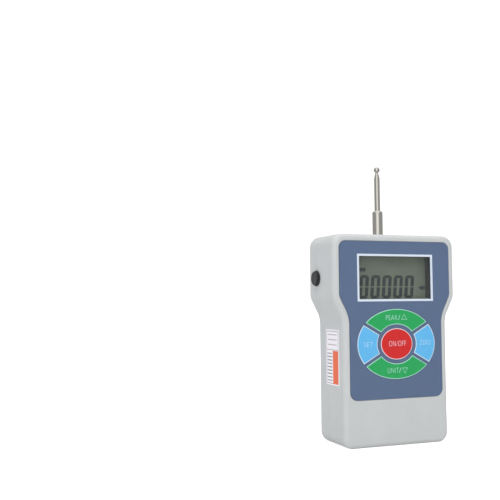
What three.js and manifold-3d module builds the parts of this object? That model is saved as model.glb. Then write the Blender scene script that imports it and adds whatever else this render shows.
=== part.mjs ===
// Digital force gauge, hand held, with a thin ball-ended feeler standing on its head.
// Millimetres. +X is to the right seen from the front, +Y goes to the back, +Z goes up along the feeler.
// The origin is the middle of the flat bottom that the gauge stands on.

import * as THREE from "three";
import { mergeVertices } from "three/addons/utils/BufferGeometryUtils.js";
import Module from "manifold-3d";

const wasm = await Module();
wasm.setup();

// Layout of the front, from the bottom up
const chinHeight = 24.3; // bare band under the panel
const panelFoot = 9.9; // panel under the key ring
const keyRingHeight = 36.2;
const windowRise = 4; // key ring to the window's border
const windowHeight = 24.5; // over the printed border
const panelHead = 6.6; // window's border to the panel's upper edge
const browHeight = 3.7; // panel to the top of the housing

// Layout of the front, from the middle out
const keyRingWidth = 46.1;
const keyRingMargin = 4.2; // key ring to the panel's edge
const panelMargin = 3.45; // panel's edge to the housing's side
const headFlare = 5.5; // how far the head stands out past the grip, on each side
const windowWidth = 45.1; // over the printed border
const windowBorder = 1.1;

// Outline of the housing
const waistOverlap = 4.2; // how far the waist reaches up beside the window
const waistHeight = 16.1; // from the grip's straight side to the head's
const waistBulgeRadius = 9;
const waistHollowRadius = 13;
const headCornerRadius = 6.1;
const footCornerRadius = 5.3;
const edgeRadius = 2.5; // round all along the front and back edges
const panelHeadCornerRadius = 3.6;
const panelFootCornerRadius = 4;

// Walls of the housing
const shellWall = 2.2;
const frontWall = 2.6;
const insideEdgeRadius = 1.1;
const seamGap = 0.12; // fine line between the two shells
const lipThickness = 0.9;
const lipHeight = 1.3;
const lipClearance = 0.15;

// Clearances
const restGap = 0.1; // between faces that lie on each other
const slideGap = 0.2; // round what moves or is dropped in
const screwFit = 0.15; // round a screw in its hole
const seatGap = 0.3; // between inner pieces and the walls that hold them
const overrun = 2; // how far a cutter runs past what it cuts

// Panel and keys
const recessDepth = 0.65; // shallow recess that the panel lies in
const overlayThickness = 0.45;
const powerKeyWidth = 18.9;
const powerKeyHeight = 16.2;
const powerRingGap = 2; // blue ring round the power key
const spokeGap = 1.6; // blue bars between the outer keys
const spokeAngle = THREE.MathUtils.degToRad(29.5);
const keyThickness = 0.95;
const keyRise = 0.05; // keys stand this much proud of the panel
const keyTravel = 0.3;
const keyLegRadius = 1.3;

// Display
const displayDepth = 6; // from the front plane to the display's glass
const lensThickness = 1.2;
const lensLedge = 3.3; // how far the lens reaches past the clear view
const shroudWall = 0.9;
const displayFlange = 1;
const displaySkirt = 1.2;
const glassThickness = 1.1;
const glassSideMargin = 2.6;
const glassEndMargin = 3.2;
const rearGlassEndMargin = 0.9;
const contactStripWidth = 1.7;
const contactStripSetback = 1.65; // glass's end to the strip's

// Board and its switches
const boardDepth = 9.2; // from the front plane to the board
const boardThickness = 1.6;
const boardInset = 4.6; // board's edge to the housing's side
const boardRise = 2; // board's lower edge above the panel's
const boardCornerRadius = 1.5;
const switchWidth = 6;
const switchHeight = 3.5;
const plungerRadius = 1.65;
const plungerStand = 0.8;
const plungerSink = 0.9;

// Chips and connectors, on the back of the board
const controllerWidth = 10;
const controllerHeight = 1.4;
const amplifierWidth = 7.5;
const amplifierLength = 10.3;
const amplifierHeight = 2.3;
const chipLeadWidth = 0.5;
const chipLeadReach = 0.9;
const chipLeadThickness = 0.2;
const controllerLeads = 5;
const amplifierLeads = 4;
const chipSetback = 13.1; // grip's side to the middle of each chip
const chipRise = 17; // above the middle of the key ring
const connectorWidth = 4;
const connectorLength = 7.4;
const connectorHeight = 4.6;
const connectorWall = 0.7;
const connectorSetback = 10.6; // grip's side to the middle of each connector
const connectorDrop = 9; // from the chips down to the connectors

// Load cell and what carries it
const cellWidth = 12;
const cellThickness = 9;
const cellHoleRadius = 4.8;
const cellHoleSpacing = 16;
const cellSlotHeight = 3;
const cellFront = 2.4; // room between the board and the load cell
const cellRear = 5.2; // room between the load cell and the back wall
const cellHeadRoom = 8.5; // load cell's top to the inside of the housing's top
const gaugeLength = 9;
const gaugeWidth = 6;
const gaugeThickness = 0.4;
const bracketHeight = 6;
const bracketSetback = 7.1; // grip's side to the bracket's end
const bracketHub = 22; // thick middle of the bracket
const bracketEar = 3.6; // thickness of each ear
const bracketScrewSetback = 4.5; // bracket's end to its screw
const bracketBossRadius = 3.1;
const bracketRoom = 6; // room for leads between the battery and the bracket
const cellBoltRadius = 2;
const cellBoltHeadRadius = 3.5;
const cellBoltHeadHeight = 2.4;
const cellBoltReach = 8;

// Feeler
const holderRadius = 2.75;
const holderRise = 14.2; // above the housing's top
const holderChamfer = 0.8;
const leanClearance = 0.75; // free gap round the holder in the housing's top
const studRadius = 2;
const studReach = 7;
const nutWidth = 7;
const nutHeight = 2.4;
const feelerRadius = 1.5;
const feelerRise = 24.2; // above the holder
const feelerTaper = 3.9; // rounded cone under the ball
const neckRadius = 0.64;
const ballRadius = 1.58;
const feelerSeat = 8; // how far the feeler stands in the holder

// Charging socket and its dust plug
const socketLength = 14;
const socketWidth = 9;
const socketHeight = 11;
const socketSetback = 1.5; // socket's axis behind the seam
const socketBoreRadius = 2.8;
const socketBoreDepth = 10;
const socketPinRadius = 1;
const socketPinTail = 2; // solid end of the socket behind the pin
const socketPinSetback = 1; // socket's face to the pin's end
const plugFlangeRadius = 4.15;
const plugFlangeThickness = 0.6;
const plugCapRadius = 3.8;
const plugCapHeight = 1.1;
const plugGrooveDepth = 0.35;
const plugGrooveWidth = 0.3;
const plugShankLength = 7.6;
const plugRound = 0.4;
const socketRibShares = [0.2, 0.8]; // places of the ribs along the socket

// Battery
const cellCount = 3;
const batteryCellDiameter = 10.5;
const batteryCellLength = 44.5;
const batteryWrap = 0.3;
const batteryFenceWall = 1.2;
const batteryFenceHeight = 5;
const foamWidth = 34;
const foamMargin = 1.5;

// Screws
const bossSetback = 7; // housing's side to a case screw's axis
const frontBossRadius = 2.8;
const rearBossWall = 1.1;
const caseScrewRadius = 1.4;
const caseScrewHeadRadius = 2.5;
const caseScrewHeadHeight = 1.7;
const caseScrewLength = 14;
const counterboreDepth = 3.4;
const smallScrewRadius = 1.1;
const smallScrewHeadRadius = 2;
const smallScrewHeadHeight = 1.3;
const smallScrewLength = 6;
const bracketScrewRadius = 1.4;
const bracketScrewHeadRadius = 2.6;
const bracketScrewHeadHeight = 1.8;
const bracketScrewLength = 7.2;
const standoffRadius = 2.3;
const standoffSetback = 3.8;
const screwPointLength = 1.2;
const recessArm = 0.55; // width of an arm of the cross recess
const recessSink = 0.9;
const recessShare = 0.55; // reach of the cross recess in the head's radius
const domeShare = 0.6; // flat top of a head in its radius, and its straight rim in its height
const pointShare = 0.45; // end of a screw's point in its radius

// Leads
const leadRadius = 0.6;
const sensorLeadRadius = 0.9;
const leadSpacing = 2; // between the battery's two leads
const leadInset = 3; // battery's end to the middle of its leads
const leadPassage = 3; // bracket screw's head to the middle of the leads
const leadBend = 2.4; // how far a lead stands out before it turns
const leadPlugDepth = 1; // how far a lead reaches into its connector
const chargingLeadSetback = 11; // head's side to the charging lead's pad
const chargingLeadDrop = 12; // from the middle of the socket down to that pad

// Shares within the small turned pieces
const nutChamferShare = 0.14;
const coneBendShare = 0.35;
const wrapFlatShare = 0.78;

// Facets
const roundSides = 24;
const smallSides = 12;
const leadSides = 8;
const leadSteps = 12;
const arcSteps = 3;
const keyArcSteps = 6;
const edgeSteps = 3;
const insideEdgeSteps = 2;
const nutSides = 6;
const feelerSides = 20;
const feelerConeSteps = 6;
const ballSteps = 8;
const batterySides = 16;
const mergeTolerance = 1e-4;

// Worked-out places
const gripHalf = keyRingWidth / 2 + keyRingMargin + panelMargin;
const headHalf = gripHalf + headFlare;
const panelFootZ = chinHeight;
const keyRingZ = panelFootZ + panelFoot + keyRingHeight / 2;
const windowLowZ = keyRingZ + keyRingHeight / 2 + windowRise;
const windowZ = windowLowZ + windowHeight / 2;
const panelHeadZ = windowLowZ + windowHeight + panelHead;
const waistHighZ = windowLowZ + waistOverlap;
const gripHighZ = waistHighZ - waistHeight;
const housingHeight = panelHeadZ + browHeight;
const seamDepth = boardDepth + boardThickness + cellFront + cellThickness / 2;
const housingDepth = seamDepth + cellThickness / 2 + cellRear + shellWall;
const frontY = -housingDepth / 2;
const backY = housingDepth / 2;
const seamY = frontY + seamDepth;
const socketY = seamY + socketSetback;
const backWallY = backY - shellWall;
const boardBackY = frontY + boardDepth + boardThickness;
const overlayY = frontY + recessDepth - restGap - overlayThickness;
const keyFrontDepth = recessDepth - restGap - overlayThickness - keyRise;
const keyPocketDepth = keyFrontDepth + keyThickness + keyTravel + restGap;
const viewHalfWidth = windowWidth / 2 - windowBorder;
const viewHalfHeight = windowHeight / 2 - windowBorder;
const lensY = frontY + recessDepth + restGap;
const lensLedgeDepth = recessDepth + restGap + lensThickness + restGap;
const glassHalfWidth = viewHalfWidth + glassSideMargin;
const glassHalfHeight = viewHalfHeight + glassEndMargin;
const skirtHalfWidth = glassHalfWidth + slideGap + displaySkirt;
const skirtHalfHeight = glassHalfHeight + slideGap + displaySkirt;
const plungerDepth = boardDepth - switchHeight - plungerStand;
const keyLegLength = plungerDepth - restGap - keyFrontDepth - keyThickness;
const innerRingHalfWidth = powerKeyWidth / 2 + powerRingGap;
const innerRingHalfHeight = powerKeyHeight / 2 + powerRingGap;
const rearBossRadius = caseScrewHeadRadius + slideGap + rearBossWall;
const batteryLow = bossSetback + rearBossRadius + seatGap;
const batteryHeight = cellCount * batteryCellDiameter + 2 * batteryWrap;
const batteryHigh = batteryLow + batteryHeight;
const batteryHalfLength = batteryCellLength / 2 + batteryWrap;
const batteryThickness = batteryCellDiameter + 2 * batteryWrap;
const batteryY = backWallY - seatGap - batteryThickness;
const bracketZ = batteryHigh + bracketRoom;
const bracketHighZ = bracketZ + bracketHeight;
const bracketHalfLength = gripHalf - bracketSetback;
const bracketScrewX = bracketHalfLength - bracketScrewSetback;
const bracketRearY = seamY + cellThickness / 2 - restGap;
const cellLowZ = bracketHighZ + restGap;
const cellHighZ = housingHeight - shellWall - cellHeadRoom;
const cellMidZ = (cellLowZ + cellHighZ) / 2;
const nutZ = cellHighZ + restGap;
const holderLowZ = nutZ + nutHeight + restGap;
const holderHighZ = housingHeight + holderRise;
const boardLowZ = panelFootZ + boardRise;
const boardHighZ = housingHeight - boardInset;
const chipX = gripHalf - chipSetback;
const chipZ = keyRingZ + chipRise;
const connectorX = gripHalf - connectorSetback;
const connectorZ = chipZ - connectorDrop;
const connectorBackY = boardBackY + restGap + connectorHeight;
const plugHoleRadius = socketBoreRadius + slideGap;
const plugShankRadius = socketBoreRadius - slideGap;
const socketFaceX = -headHalf + shellWall + seatGap;
const caseSeatY = backY - counterboreDepth + restGap;
const earFrontY = bracketRearY - bracketEar;

// Materials
function finish(color, roughness, metalness) {
  return new THREE.MeshStandardMaterial({ color, roughness, metalness, flatShading: true });
}
const greyPlastic = finish(0xc5cacb, 0.5, 0);
const bluePolyester = finish(0x617392, 0.55, 0);
const clearAcrylic = finish(0xe8eef0, 0.08, 0);
const blackPlastic = finish(0x17181a, 0.5, 0);
const displayGlass = finish(0x626a5a, 0.2, 0);
const redPolyester = finish(0xde2023, 0.5, 0);
const greenPolyester = finish(0x24b257, 0.5, 0);
const paleBluePolyester = finish(0x69b9f5, 0.5, 0);
const boardGreen = finish(0x1d5b38, 0.5, 0);
const chipEpoxy = finish(0x1c1c1e, 0.6, 0);
const whiteNylon = finish(0xe9e6db, 0.6, 0);
const greyRubber = finish(0x4a4a4c, 0.8, 0);
const polishedSteel = finish(0xc4c2ba, 0.2, 1);
const zincSteel = finish(0xa9abae, 0.35, 1);
const aluminium = finish(0xb9bcc0, 0.4, 1);
const whiteSilicone = finish(0xe4e2dc, 0.7, 0);
const blackRubber = finish(0x1b1b1d, 0.75, 0);
const brass = finish(0xb9975a, 0.35, 1);
const greenWrap = finish(0x2f8f57, 0.45, 0);
const blackFoam = finish(0x2a2a2c, 0.95, 0);
const redInsulation = finish(0xb3201f, 0.5, 0);
const blackInsulation = finish(0x1a1a1a, 0.5, 0);
const greyInsulation = finish(0x8d8f93, 0.5, 0);

// A closed geometry as a solid that can be joined and cut.
function toSolid(geometry) {
  const bare = geometry.index ? geometry.toNonIndexed() : geometry.clone();
  bare.deleteAttribute("normal");
  bare.deleteAttribute("uv");
  const merged = mergeVertices(bare, mergeTolerance);
  const vertProperties = merged.attributes.position.array;
  const triVerts = Uint32Array.from(merged.index.array);
  return new wasm.Manifold(new wasm.Mesh({ numProp: 3, vertProperties, triVerts }));
}

function toGeometry(solid) {
  const mesh = solid.getMesh();
  const geometry = new THREE.BufferGeometry();
  geometry.setAttribute("position", new THREE.BufferAttribute(mesh.vertProperties, mesh.numProp));
  geometry.setIndex(new THREE.BufferAttribute(mesh.triVerts, 1));
  geometry.computeVertexNormals();
  return geometry;
}

// Turns a geometry that stands along Y so that it lies along the axis asked for.
function pointAlong(geometry, axis) {
  if (axis === "x") geometry.rotateZ(-Math.PI / 2);
  if (axis === "z") geometry.rotateX(Math.PI / 2);
  return geometry;
}

// A rod from zero up to its length along an axis.
function rod(axis, radius, length, sides = smallSides) {
  const geometry = new THREE.CylinderGeometry(radius, radius, length, sides);
  geometry.translate(0, length / 2, 0);
  return toSolid(pointAlong(geometry, axis));
}

// A turned piece: its profile is a list of [radius, place along the axis], from the low end up.
function turned(axis, profile, sides = smallSides) {
  const points = profile.map(([radius, along]) => new THREE.Vector2(radius, along));
  return toSolid(pointAlong(new THREE.LatheGeometry(points, sides), axis));
}

// A box with its middle at the origin.
function block(width, depth, height) {
  return toSolid(new THREE.BoxGeometry(width, depth, height));
}

// A shape drawn in X and Z, with its front at zero and its back at the thickness along Y.
function sheet(shape, thickness, curveSegments = arcSteps) {
  const geometry = new THREE.ExtrudeGeometry(shape, { depth: thickness, bevelEnabled: false, curveSegments });
  geometry.rotateX(Math.PI / 2);
  geometry.translate(0, thickness, 0);
  return toSolid(geometry);
}

// The same with its front and back edges rounded, inside the shape's own outline.
function roundedSheet(shape, thickness, radius, bevelSegments) {
  const geometry = new THREE.ExtrudeGeometry(shape, {
    depth: thickness - 2 * radius,
    bevelEnabled: true,
    bevelThickness: radius,
    bevelSize: radius,
    bevelOffset: -radius,
    bevelSegments,
    curveSegments: arcSteps,
  });
  geometry.rotateX(Math.PI / 2);
  geometry.translate(0, thickness - radius, 0);
  return toSolid(geometry);
}

function rectangle(halfWidth, halfHeight, cornerRadius = 0) {
  const shape = new THREE.Shape();
  if (cornerRadius === 0) {
    shape.moveTo(-halfWidth, -halfHeight);
    shape.lineTo(halfWidth, -halfHeight);
    shape.lineTo(halfWidth, halfHeight);
    shape.lineTo(-halfWidth, halfHeight);
    return shape;
  }
  const x = halfWidth - cornerRadius;
  const z = halfHeight - cornerRadius;
  shape.absarc(x, -z, cornerRadius, -Math.PI / 2, 0, false);
  shape.absarc(x, z, cornerRadius, 0, Math.PI / 2, false);
  shape.absarc(-x, z, cornerRadius, Math.PI / 2, Math.PI, false);
  shape.absarc(-x, -z, cornerRadius, Math.PI, Math.PI * 1.5, false);
  return shape;
}

// The gauge's outline seen from the front, drawn in from the housing's side by an inset:
// a straight grip, a waist of two arcs with a slanted line between them, and the wider head.
function gaugeOutline(inset, lowZ, highZ, lowRadius, highRadius) {
  const gripX = gripHalf - inset;
  const headX = headHalf - inset;
  const bulge = waistBulgeRadius - inset;
  const hollow = waistHollowRadius + inset;
  const across = bulge + hollow - headFlare;
  const tangent = Math.acos((bulge + hollow) / Math.hypot(across, waistHeight));
  const slant = Math.atan2(waistHeight, across) - tangent;
  const shape = new THREE.Shape();
  shape.absarc(gripX - lowRadius, lowZ + lowRadius, lowRadius, -Math.PI / 2, 0, false);
  shape.absarc(gripX + hollow, gripHighZ, hollow, Math.PI, Math.PI - slant, true);
  shape.absarc(headX - bulge, waistHighZ, bulge, -slant, 0, false);
  shape.absarc(headX - highRadius, highZ - highRadius, highRadius, 0, Math.PI / 2, false);
  shape.absarc(-headX + highRadius, highZ - highRadius, highRadius, Math.PI / 2, Math.PI, false);
  shape.absarc(-headX + bulge, waistHighZ, bulge, Math.PI, Math.PI + slant, false);
  shape.absarc(-gripX - hollow, gripHighZ, hollow, slant, 0, true);
  shape.absarc(-gripX + lowRadius, lowZ + lowRadius, lowRadius, Math.PI, Math.PI * 1.5, false);
  return shape;
}

function panelOutline(growth) {
  return gaugeOutline(
    panelMargin - growth,
    panelFootZ - growth,
    panelHeadZ + growth,
    panelFootCornerRadius + growth,
    panelHeadCornerRadius + growth,
  );
}

// Key outlines, round the middle of the key ring. Growth widens a key into the cut-out that it lies in.
// The angle on an ellipse where a line beside a spoke meets it.
function spokeMeetsEllipse(halfWidth, halfHeight, side) {
  const cos = Math.cos(spokeAngle);
  const sin = Math.sin(spokeAngle);
  const startX = -sin * side;
  const startZ = cos * side;
  const a = (cos / halfWidth) ** 2 + (sin / halfHeight) ** 2;
  const b = (startX * cos) / halfWidth ** 2 + (startZ * sin) / halfHeight ** 2;
  const c = (startX / halfWidth) ** 2 + (startZ / halfHeight) ** 2 - 1;
  const along = (-b + Math.sqrt(b * b - a * c)) / a;
  return Math.atan2((startZ + sin * along) / halfHeight, (startX + cos * along) / halfWidth);
}

function powerKeyOutline(growth) {
  const halfWidth = powerKeyWidth / 2 + growth;
  const halfHeight = powerKeyHeight / 2 + growth;
  const shape = new THREE.Shape();
  shape.absellipse(0, 0, halfWidth, halfHeight, 0, Math.PI, false);
  shape.absellipse(0, 0, halfWidth, halfHeight, Math.PI, Math.PI * 2, false);
  return shape;
}

function outerKeyOutline(growth, onTop) {
  const outerWidth = keyRingWidth / 2 + growth;
  const outerHeight = keyRingHeight / 2 + growth;
  const innerWidth = innerRingHalfWidth - growth;
  const innerHeight = innerRingHalfHeight - growth;
  const side = (onTop ? 1 : -1) * (spokeGap / 2 - growth);
  const outer = spokeMeetsEllipse(outerWidth, outerHeight, side);
  const inner = spokeMeetsEllipse(innerWidth, innerHeight, side);
  const shape = new THREE.Shape();
  if (onTop) {
    shape.absellipse(0, 0, outerWidth, outerHeight, outer, Math.PI - outer, false);
    shape.absellipse(0, 0, innerWidth, innerHeight, Math.PI - inner, inner, true);
  } else {
    shape.absellipse(0, 0, outerWidth, outerHeight, -outer, outer, false);
    shape.absellipse(0, 0, innerWidth, innerHeight, inner, -inner, true);
  }
  return shape;
}

// The outer keys lie half way between the inner ellipse and the outer one.
const sideKeyX = (innerRingHalfWidth + keyRingWidth / 2) / 2;
const topKeyZ = (innerRingHalfHeight + keyRingHeight / 2) / 2;
const topKeyOutline = (growth) => outerKeyOutline(growth, true);
const sideKeyOutline = (growth) => outerKeyOutline(growth, false);
const keys = [
  { name: "power", outline: powerKeyOutline, turn: 0, x: 0, z: 0, material: redPolyester },
  { name: "up", outline: topKeyOutline, turn: 0, x: 0, z: topKeyZ, material: greenPolyester },
  { name: "down", outline: topKeyOutline, turn: Math.PI, x: 0, z: -topKeyZ, material: greenPolyester },
  { name: "zero", outline: sideKeyOutline, turn: 0, x: sideKeyX, z: 0, material: paleBluePolyester },
  { name: "set", outline: sideKeyOutline, turn: Math.PI, x: -sideKeyX, z: 0, material: paleBluePolyester },
];

// A key's plate round the middle of the key ring, turned to its side of the ring.
function keyPlate(key, growth, thickness) {
  const plate = sheet(key.outline(growth), thickness, keyArcSteps);
  return plate.rotate([0, THREE.MathUtils.radToDeg(key.turn), 0]);
}

// The scene
const gauge = new THREE.Group();
gauge.name = "digital_force_gauge";

function addPiece(name, solid, material, parent = gauge, x = 0, y = 0, z = 0) {
  const mesh = new THREE.Mesh(toGeometry(solid), material);
  mesh.name = name;
  mesh.position.set(x, y, z);
  parent.add(mesh);
  return mesh;
}

// Places of the case screws, the board's screws and the bracket's screws
const caseScrewPlaces = [
  { name: "case_screw_top_left", x: -headHalf + bossSetback, z: housingHeight - bossSetback },
  { name: "case_screw_top_right", x: headHalf - bossSetback, z: housingHeight - bossSetback },
  { name: "case_screw_bottom_left", x: -gripHalf + bossSetback, z: bossSetback },
  { name: "case_screw_bottom_right", x: gripHalf - bossSetback, z: bossSetback },
];
const boardScrewX = gripHalf - boardInset - standoffSetback;
const boardScrewPlaces = [
  { name: "board_screw_top_left", x: -skirtHalfWidth - standoffSetback, z: windowZ },
  { name: "board_screw_top_right", x: skirtHalfWidth + standoffSetback, z: windowZ },
  { name: "board_screw_bottom_left", x: -boardScrewX, z: boardLowZ + standoffSetback },
  { name: "board_screw_bottom_right", x: boardScrewX, z: boardLowZ + standoffSetback },
];
const bracketScrewPlaces = [
  { name: "bracket_screw_left", x: -bracketScrewX, z: bracketZ + bracketHeight / 2 },
  { name: "bracket_screw_right", x: bracketScrewX, z: bracketZ + bracketHeight / 2 },
];

// Housing: one rounded body, hollowed and parted on the plane that the feeler stands on
function housingBody() {
  const outline = gaugeOutline(0, 0, housingHeight, footCornerRadius, headCornerRadius);
  return roundedSheet(outline, housingDepth, edgeRadius, edgeSteps).translate([0, frontY, 0]);
}

function housingHollow() {
  const outline = gaugeOutline(
    shellWall,
    shellWall,
    housingHeight - shellWall,
    footCornerRadius - shellWall,
    headCornerRadius - shellWall,
  );
  const depth = housingDepth - frontWall - shellWall;
  const hollow = roundedSheet(outline, depth, insideEdgeRadius, insideEdgeSteps);
  return hollow.translate([0, frontY + frontWall, 0]);
}

// The slice of space between two planes across Y, wide enough for the whole housing.
function slice(fromY, toY) {
  const width = 2 * (headHalf + overrun);
  const height = housingHeight + 2 * overrun;
  return block(width, toY - fromY, height).translate([0, (fromY + toY) / 2, housingHeight / 2]);
}

// The ring between two insets of the housing's outline, for the lip and its rebate.
function outlineRing(outerInset, innerInset, fromY, toY) {
  const ringSheet = (inset) => {
    const lowRadius = footCornerRadius - inset;
    const highRadius = headCornerRadius - inset;
    const outline = gaugeOutline(inset, inset, housingHeight - inset, lowRadius, highRadius);
    return sheet(outline, toY - fromY).translate([0, fromY, 0]);
  };
  return ringSheet(outerInset).subtract(ringSheet(innerInset));
}

// Holes that the seam crosses: the feeler's, half in each shell, and the charging socket's
function sharedHoles() {
  const feelerHole = rod("z", holderRadius + leanClearance, shellWall + 2 * overrun, roundSides);
  const plugHole = rod("x", plugHoleRadius, shellWall + 2 * overrun, roundSides);
  return feelerHole
    .translate([0, seamY, housingHeight - shellWall - overrun])
    .add(plugHole.translate([-headHalf - overrun, socketY, windowZ]));
}

function frontShell() {
  let shell = housingBody().intersect(slice(frontY - overrun, seamY - seamGap / 2)).subtract(housingHollow());
  const lip = outlineRing(shellWall - lipThickness, shellWall, seamY - lipHeight, seamY + lipHeight);
  shell = shell.add(lip);

  // Bosses for the case screws and posts for the board, standing on the front wall
  const wallY = frontY + frontWall - restGap;
  for (const place of caseScrewPlaces) {
    const boss = rod("y", frontBossRadius, seamY - seamGap / 2 - wallY, roundSides);
    shell = shell.add(boss.translate([place.x, wallY, place.z]));
    const pilotY = caseSeatY - caseScrewLength - restGap;
    const pilot = rod("y", caseScrewRadius + screwFit, seamY + overrun - pilotY);
    shell = shell.subtract(pilot.translate([place.x, pilotY, place.z]));
  }
  for (const place of boardScrewPlaces) {
    const post = rod("y", standoffRadius, frontY + boardDepth - restGap - wallY);
    shell = shell.add(post.translate([place.x, wallY, place.z]));
    const pilot = rod("y", smallScrewRadius + screwFit, smallScrewLength + overrun);
    shell = shell.subtract(pilot.translate([place.x, frontY + boardDepth - smallScrewLength, place.z]));
  }

  // Recess of the panel, ledge of the lens, opening of the display's shroud
  const recess = sheet(panelOutline(slideGap), recessDepth + overrun).translate([0, frontY - overrun, 0]);
  const lensHalfWidth = viewHalfWidth + lensLedge + slideGap;
  const lensHalfHeight = viewHalfHeight + lensLedge + slideGap;
  const ledge = sheet(rectangle(lensHalfWidth, lensHalfHeight), lensLedgeDepth);
  const openingHalfWidth = viewHalfWidth + shroudWall + slideGap;
  const openingHalfHeight = viewHalfHeight + shroudWall + slideGap;
  const opening = sheet(rectangle(openingHalfWidth, openingHalfHeight), frontWall + overrun);
  shell = shell.subtract(recess).subtract(ledge.add(opening).translate([0, frontY, windowZ]));

  // A pocket and a leg hole under each key
  for (const key of keys) {
    shell = shell.subtract(keyPlate(key, slideGap, keyPocketDepth).translate([0, frontY, keyRingZ]));
    const legHole = rod("y", keyLegRadius + slideGap, frontWall + overrun);
    shell = shell.subtract(legHole.translate([key.x, frontY, keyRingZ + key.z]));
  }
  return shell.subtract(sharedHoles());
}

function rearShell() {
  let shell = housingBody().intersect(slice(seamY + seamGap / 2, backY + overrun)).subtract(housingHollow());
  const rebateInset = shellWall - lipThickness - lipClearance;
  const rebateY = seamY + lipHeight + lipClearance;
  const rebate = outlineRing(rebateInset, shellWall + lipClearance, seamY - overrun, rebateY);
  shell = shell.subtract(rebate);

  // Screw bosses, counterbored from the back
  for (const place of caseScrewPlaces) {
    const lowY = seamY + seamGap / 2;
    const boss = rod("y", rearBossRadius, backWallY + restGap - lowY, roundSides);
    shell = shell.add(boss.translate([place.x, lowY, place.z]));
    const hole = rod("y", caseScrewRadius + screwFit, housingDepth);
    const counterbore = rod("y", caseScrewHeadRadius + slideGap, counterboreDepth + overrun, roundSides);
    shell = shell.subtract(hole.translate([place.x, seamY - overrun, place.z]));
    shell = shell.subtract(counterbore.translate([place.x, backY - counterboreDepth, place.z]));
  }

  // Bosses that carry the load cell's bracket
  for (const place of bracketScrewPlaces) {
    const lowY = bracketRearY + restGap;
    const boss = rod("y", bracketBossRadius, backWallY + restGap - lowY);
    shell = shell.add(boss.translate([place.x, lowY, place.z]));
    const pilot = rod("y", bracketScrewRadius + screwFit, bracketScrewLength);
    shell = shell.subtract(pilot.translate([place.x, earFrontY, place.z]));
  }

  // Fence round the battery, open at its upper corners for the leads
  const fenceLow = backWallY - batteryFenceHeight;
  const fenceDepth = batteryFenceHeight + restGap;
  const fenceSide = block(batteryFenceWall, fenceDepth, batteryHeight / 2);
  const fenceX = batteryHalfLength + seatGap + batteryFenceWall / 2;
  const fenceZ = batteryLow + batteryHeight / 2;
  for (const side of [-1, 1]) {
    shell = shell.add(fenceSide.translate([side * fenceX, fenceLow + fenceDepth / 2, fenceZ]));
  }
  const fenceTop = block(batteryHalfLength, fenceDepth, batteryFenceWall);
  const fenceTopZ = batteryHigh + seatGap + batteryFenceWall / 2;
  shell = shell.add(fenceTop.translate([0, fenceLow + fenceDepth / 2, fenceTopZ]));

  // Two ribs under the charging socket
  const ribHeight = backWallY + restGap - (socketY + socketWidth / 2 + seatGap);
  const rib = block(batteryFenceWall, ribHeight, socketHeight);
  for (const share of socketRibShares) {
    const x = socketFaceX + share * socketLength;
    shell = shell.add(rib.translate([x, backWallY + restGap - ribHeight / 2, windowZ]));
  }
  return shell.subtract(sharedHoles());
}

// Panel: the printed sheet with its window and the cut-outs of the keys
function membraneOverlay() {
  let overlay = sheet(panelOutline(0), overlayThickness);
  const view = sheet(rectangle(viewHalfWidth, viewHalfHeight), overlayThickness + 2 * overrun);
  overlay = overlay.subtract(view.translate([0, -overrun, windowZ]));
  for (const key of keys) {
    const cut = keyPlate(key, slideGap, overlayThickness + 2 * overrun);
    overlay = overlay.subtract(cut.translate([0, -overrun, keyRingZ]));
  }
  return overlay;
}

// Display: lens, black shroud, two glasses and the contact strips behind them
const displayGroup = new THREE.Group();
displayGroup.position.set(0, frontY, windowZ);

function displayShroud() {
  const shroudDepth = lensLedgeDepth;
  const flangeDepth = displayDepth - restGap - displayFlange;
  const backDepth = boardDepth - restGap;
  const shroudOutline = rectangle(viewHalfWidth + shroudWall, viewHalfHeight + shroudWall);
  const skirtOutline = rectangle(skirtHalfWidth, skirtHalfHeight);
  const nest = rectangle(glassHalfWidth + slideGap, glassHalfHeight + slideGap);
  return sheet(shroudOutline, displayDepth - restGap - shroudDepth)
    .translate([0, shroudDepth, 0])
    .add(sheet(skirtOutline, backDepth - flangeDepth).translate([0, flangeDepth, 0]))
    .subtract(sheet(nest, boardDepth).translate([0, displayDepth - restGap, 0]))
    .subtract(sheet(rectangle(viewHalfWidth, viewHalfHeight), boardDepth));
}

function contactStrip() {
  const length = boardDepth - restGap - (displayDepth + glassThickness + restGap);
  return sheet(rectangle(glassHalfWidth - contactStripSetback, contactStripWidth / 2), length);
}

function addDisplay() {
  const lens = sheet(rectangle(viewHalfWidth + lensLedge, viewHalfHeight + lensLedge), lensThickness);
  addPiece("display_window", lens, clearAcrylic, displayGroup, 0, lensY - frontY, 0);
  addPiece("lcd_frame", displayShroud(), blackPlastic, displayGroup);
  const frontGlass = sheet(rectangle(glassHalfWidth, glassHalfHeight), glassThickness);
  addPiece("lcd_front_glass", frontGlass, displayGlass, displayGroup, 0, displayDepth, 0);
  const rearHalfHeight = viewHalfHeight + rearGlassEndMargin;
  const rearGlass = sheet(rectangle(glassHalfWidth, rearHalfHeight), glassThickness);
  const rearDepth = displayDepth + glassThickness + restGap;
  addPiece("lcd_rear_glass", rearGlass, displayGlass, displayGroup, 0, rearDepth, 0);
  const stripZ = (rearHalfHeight + glassHalfHeight) / 2;
  addPiece("contact_strip_top", contactStrip(), greyRubber, displayGroup, 0, rearDepth, stripZ);
  addPiece("contact_strip_bottom", contactStrip(), greyRubber, displayGroup, 0, rearDepth, -stripZ);
  gauge.add(displayGroup);
}

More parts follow.
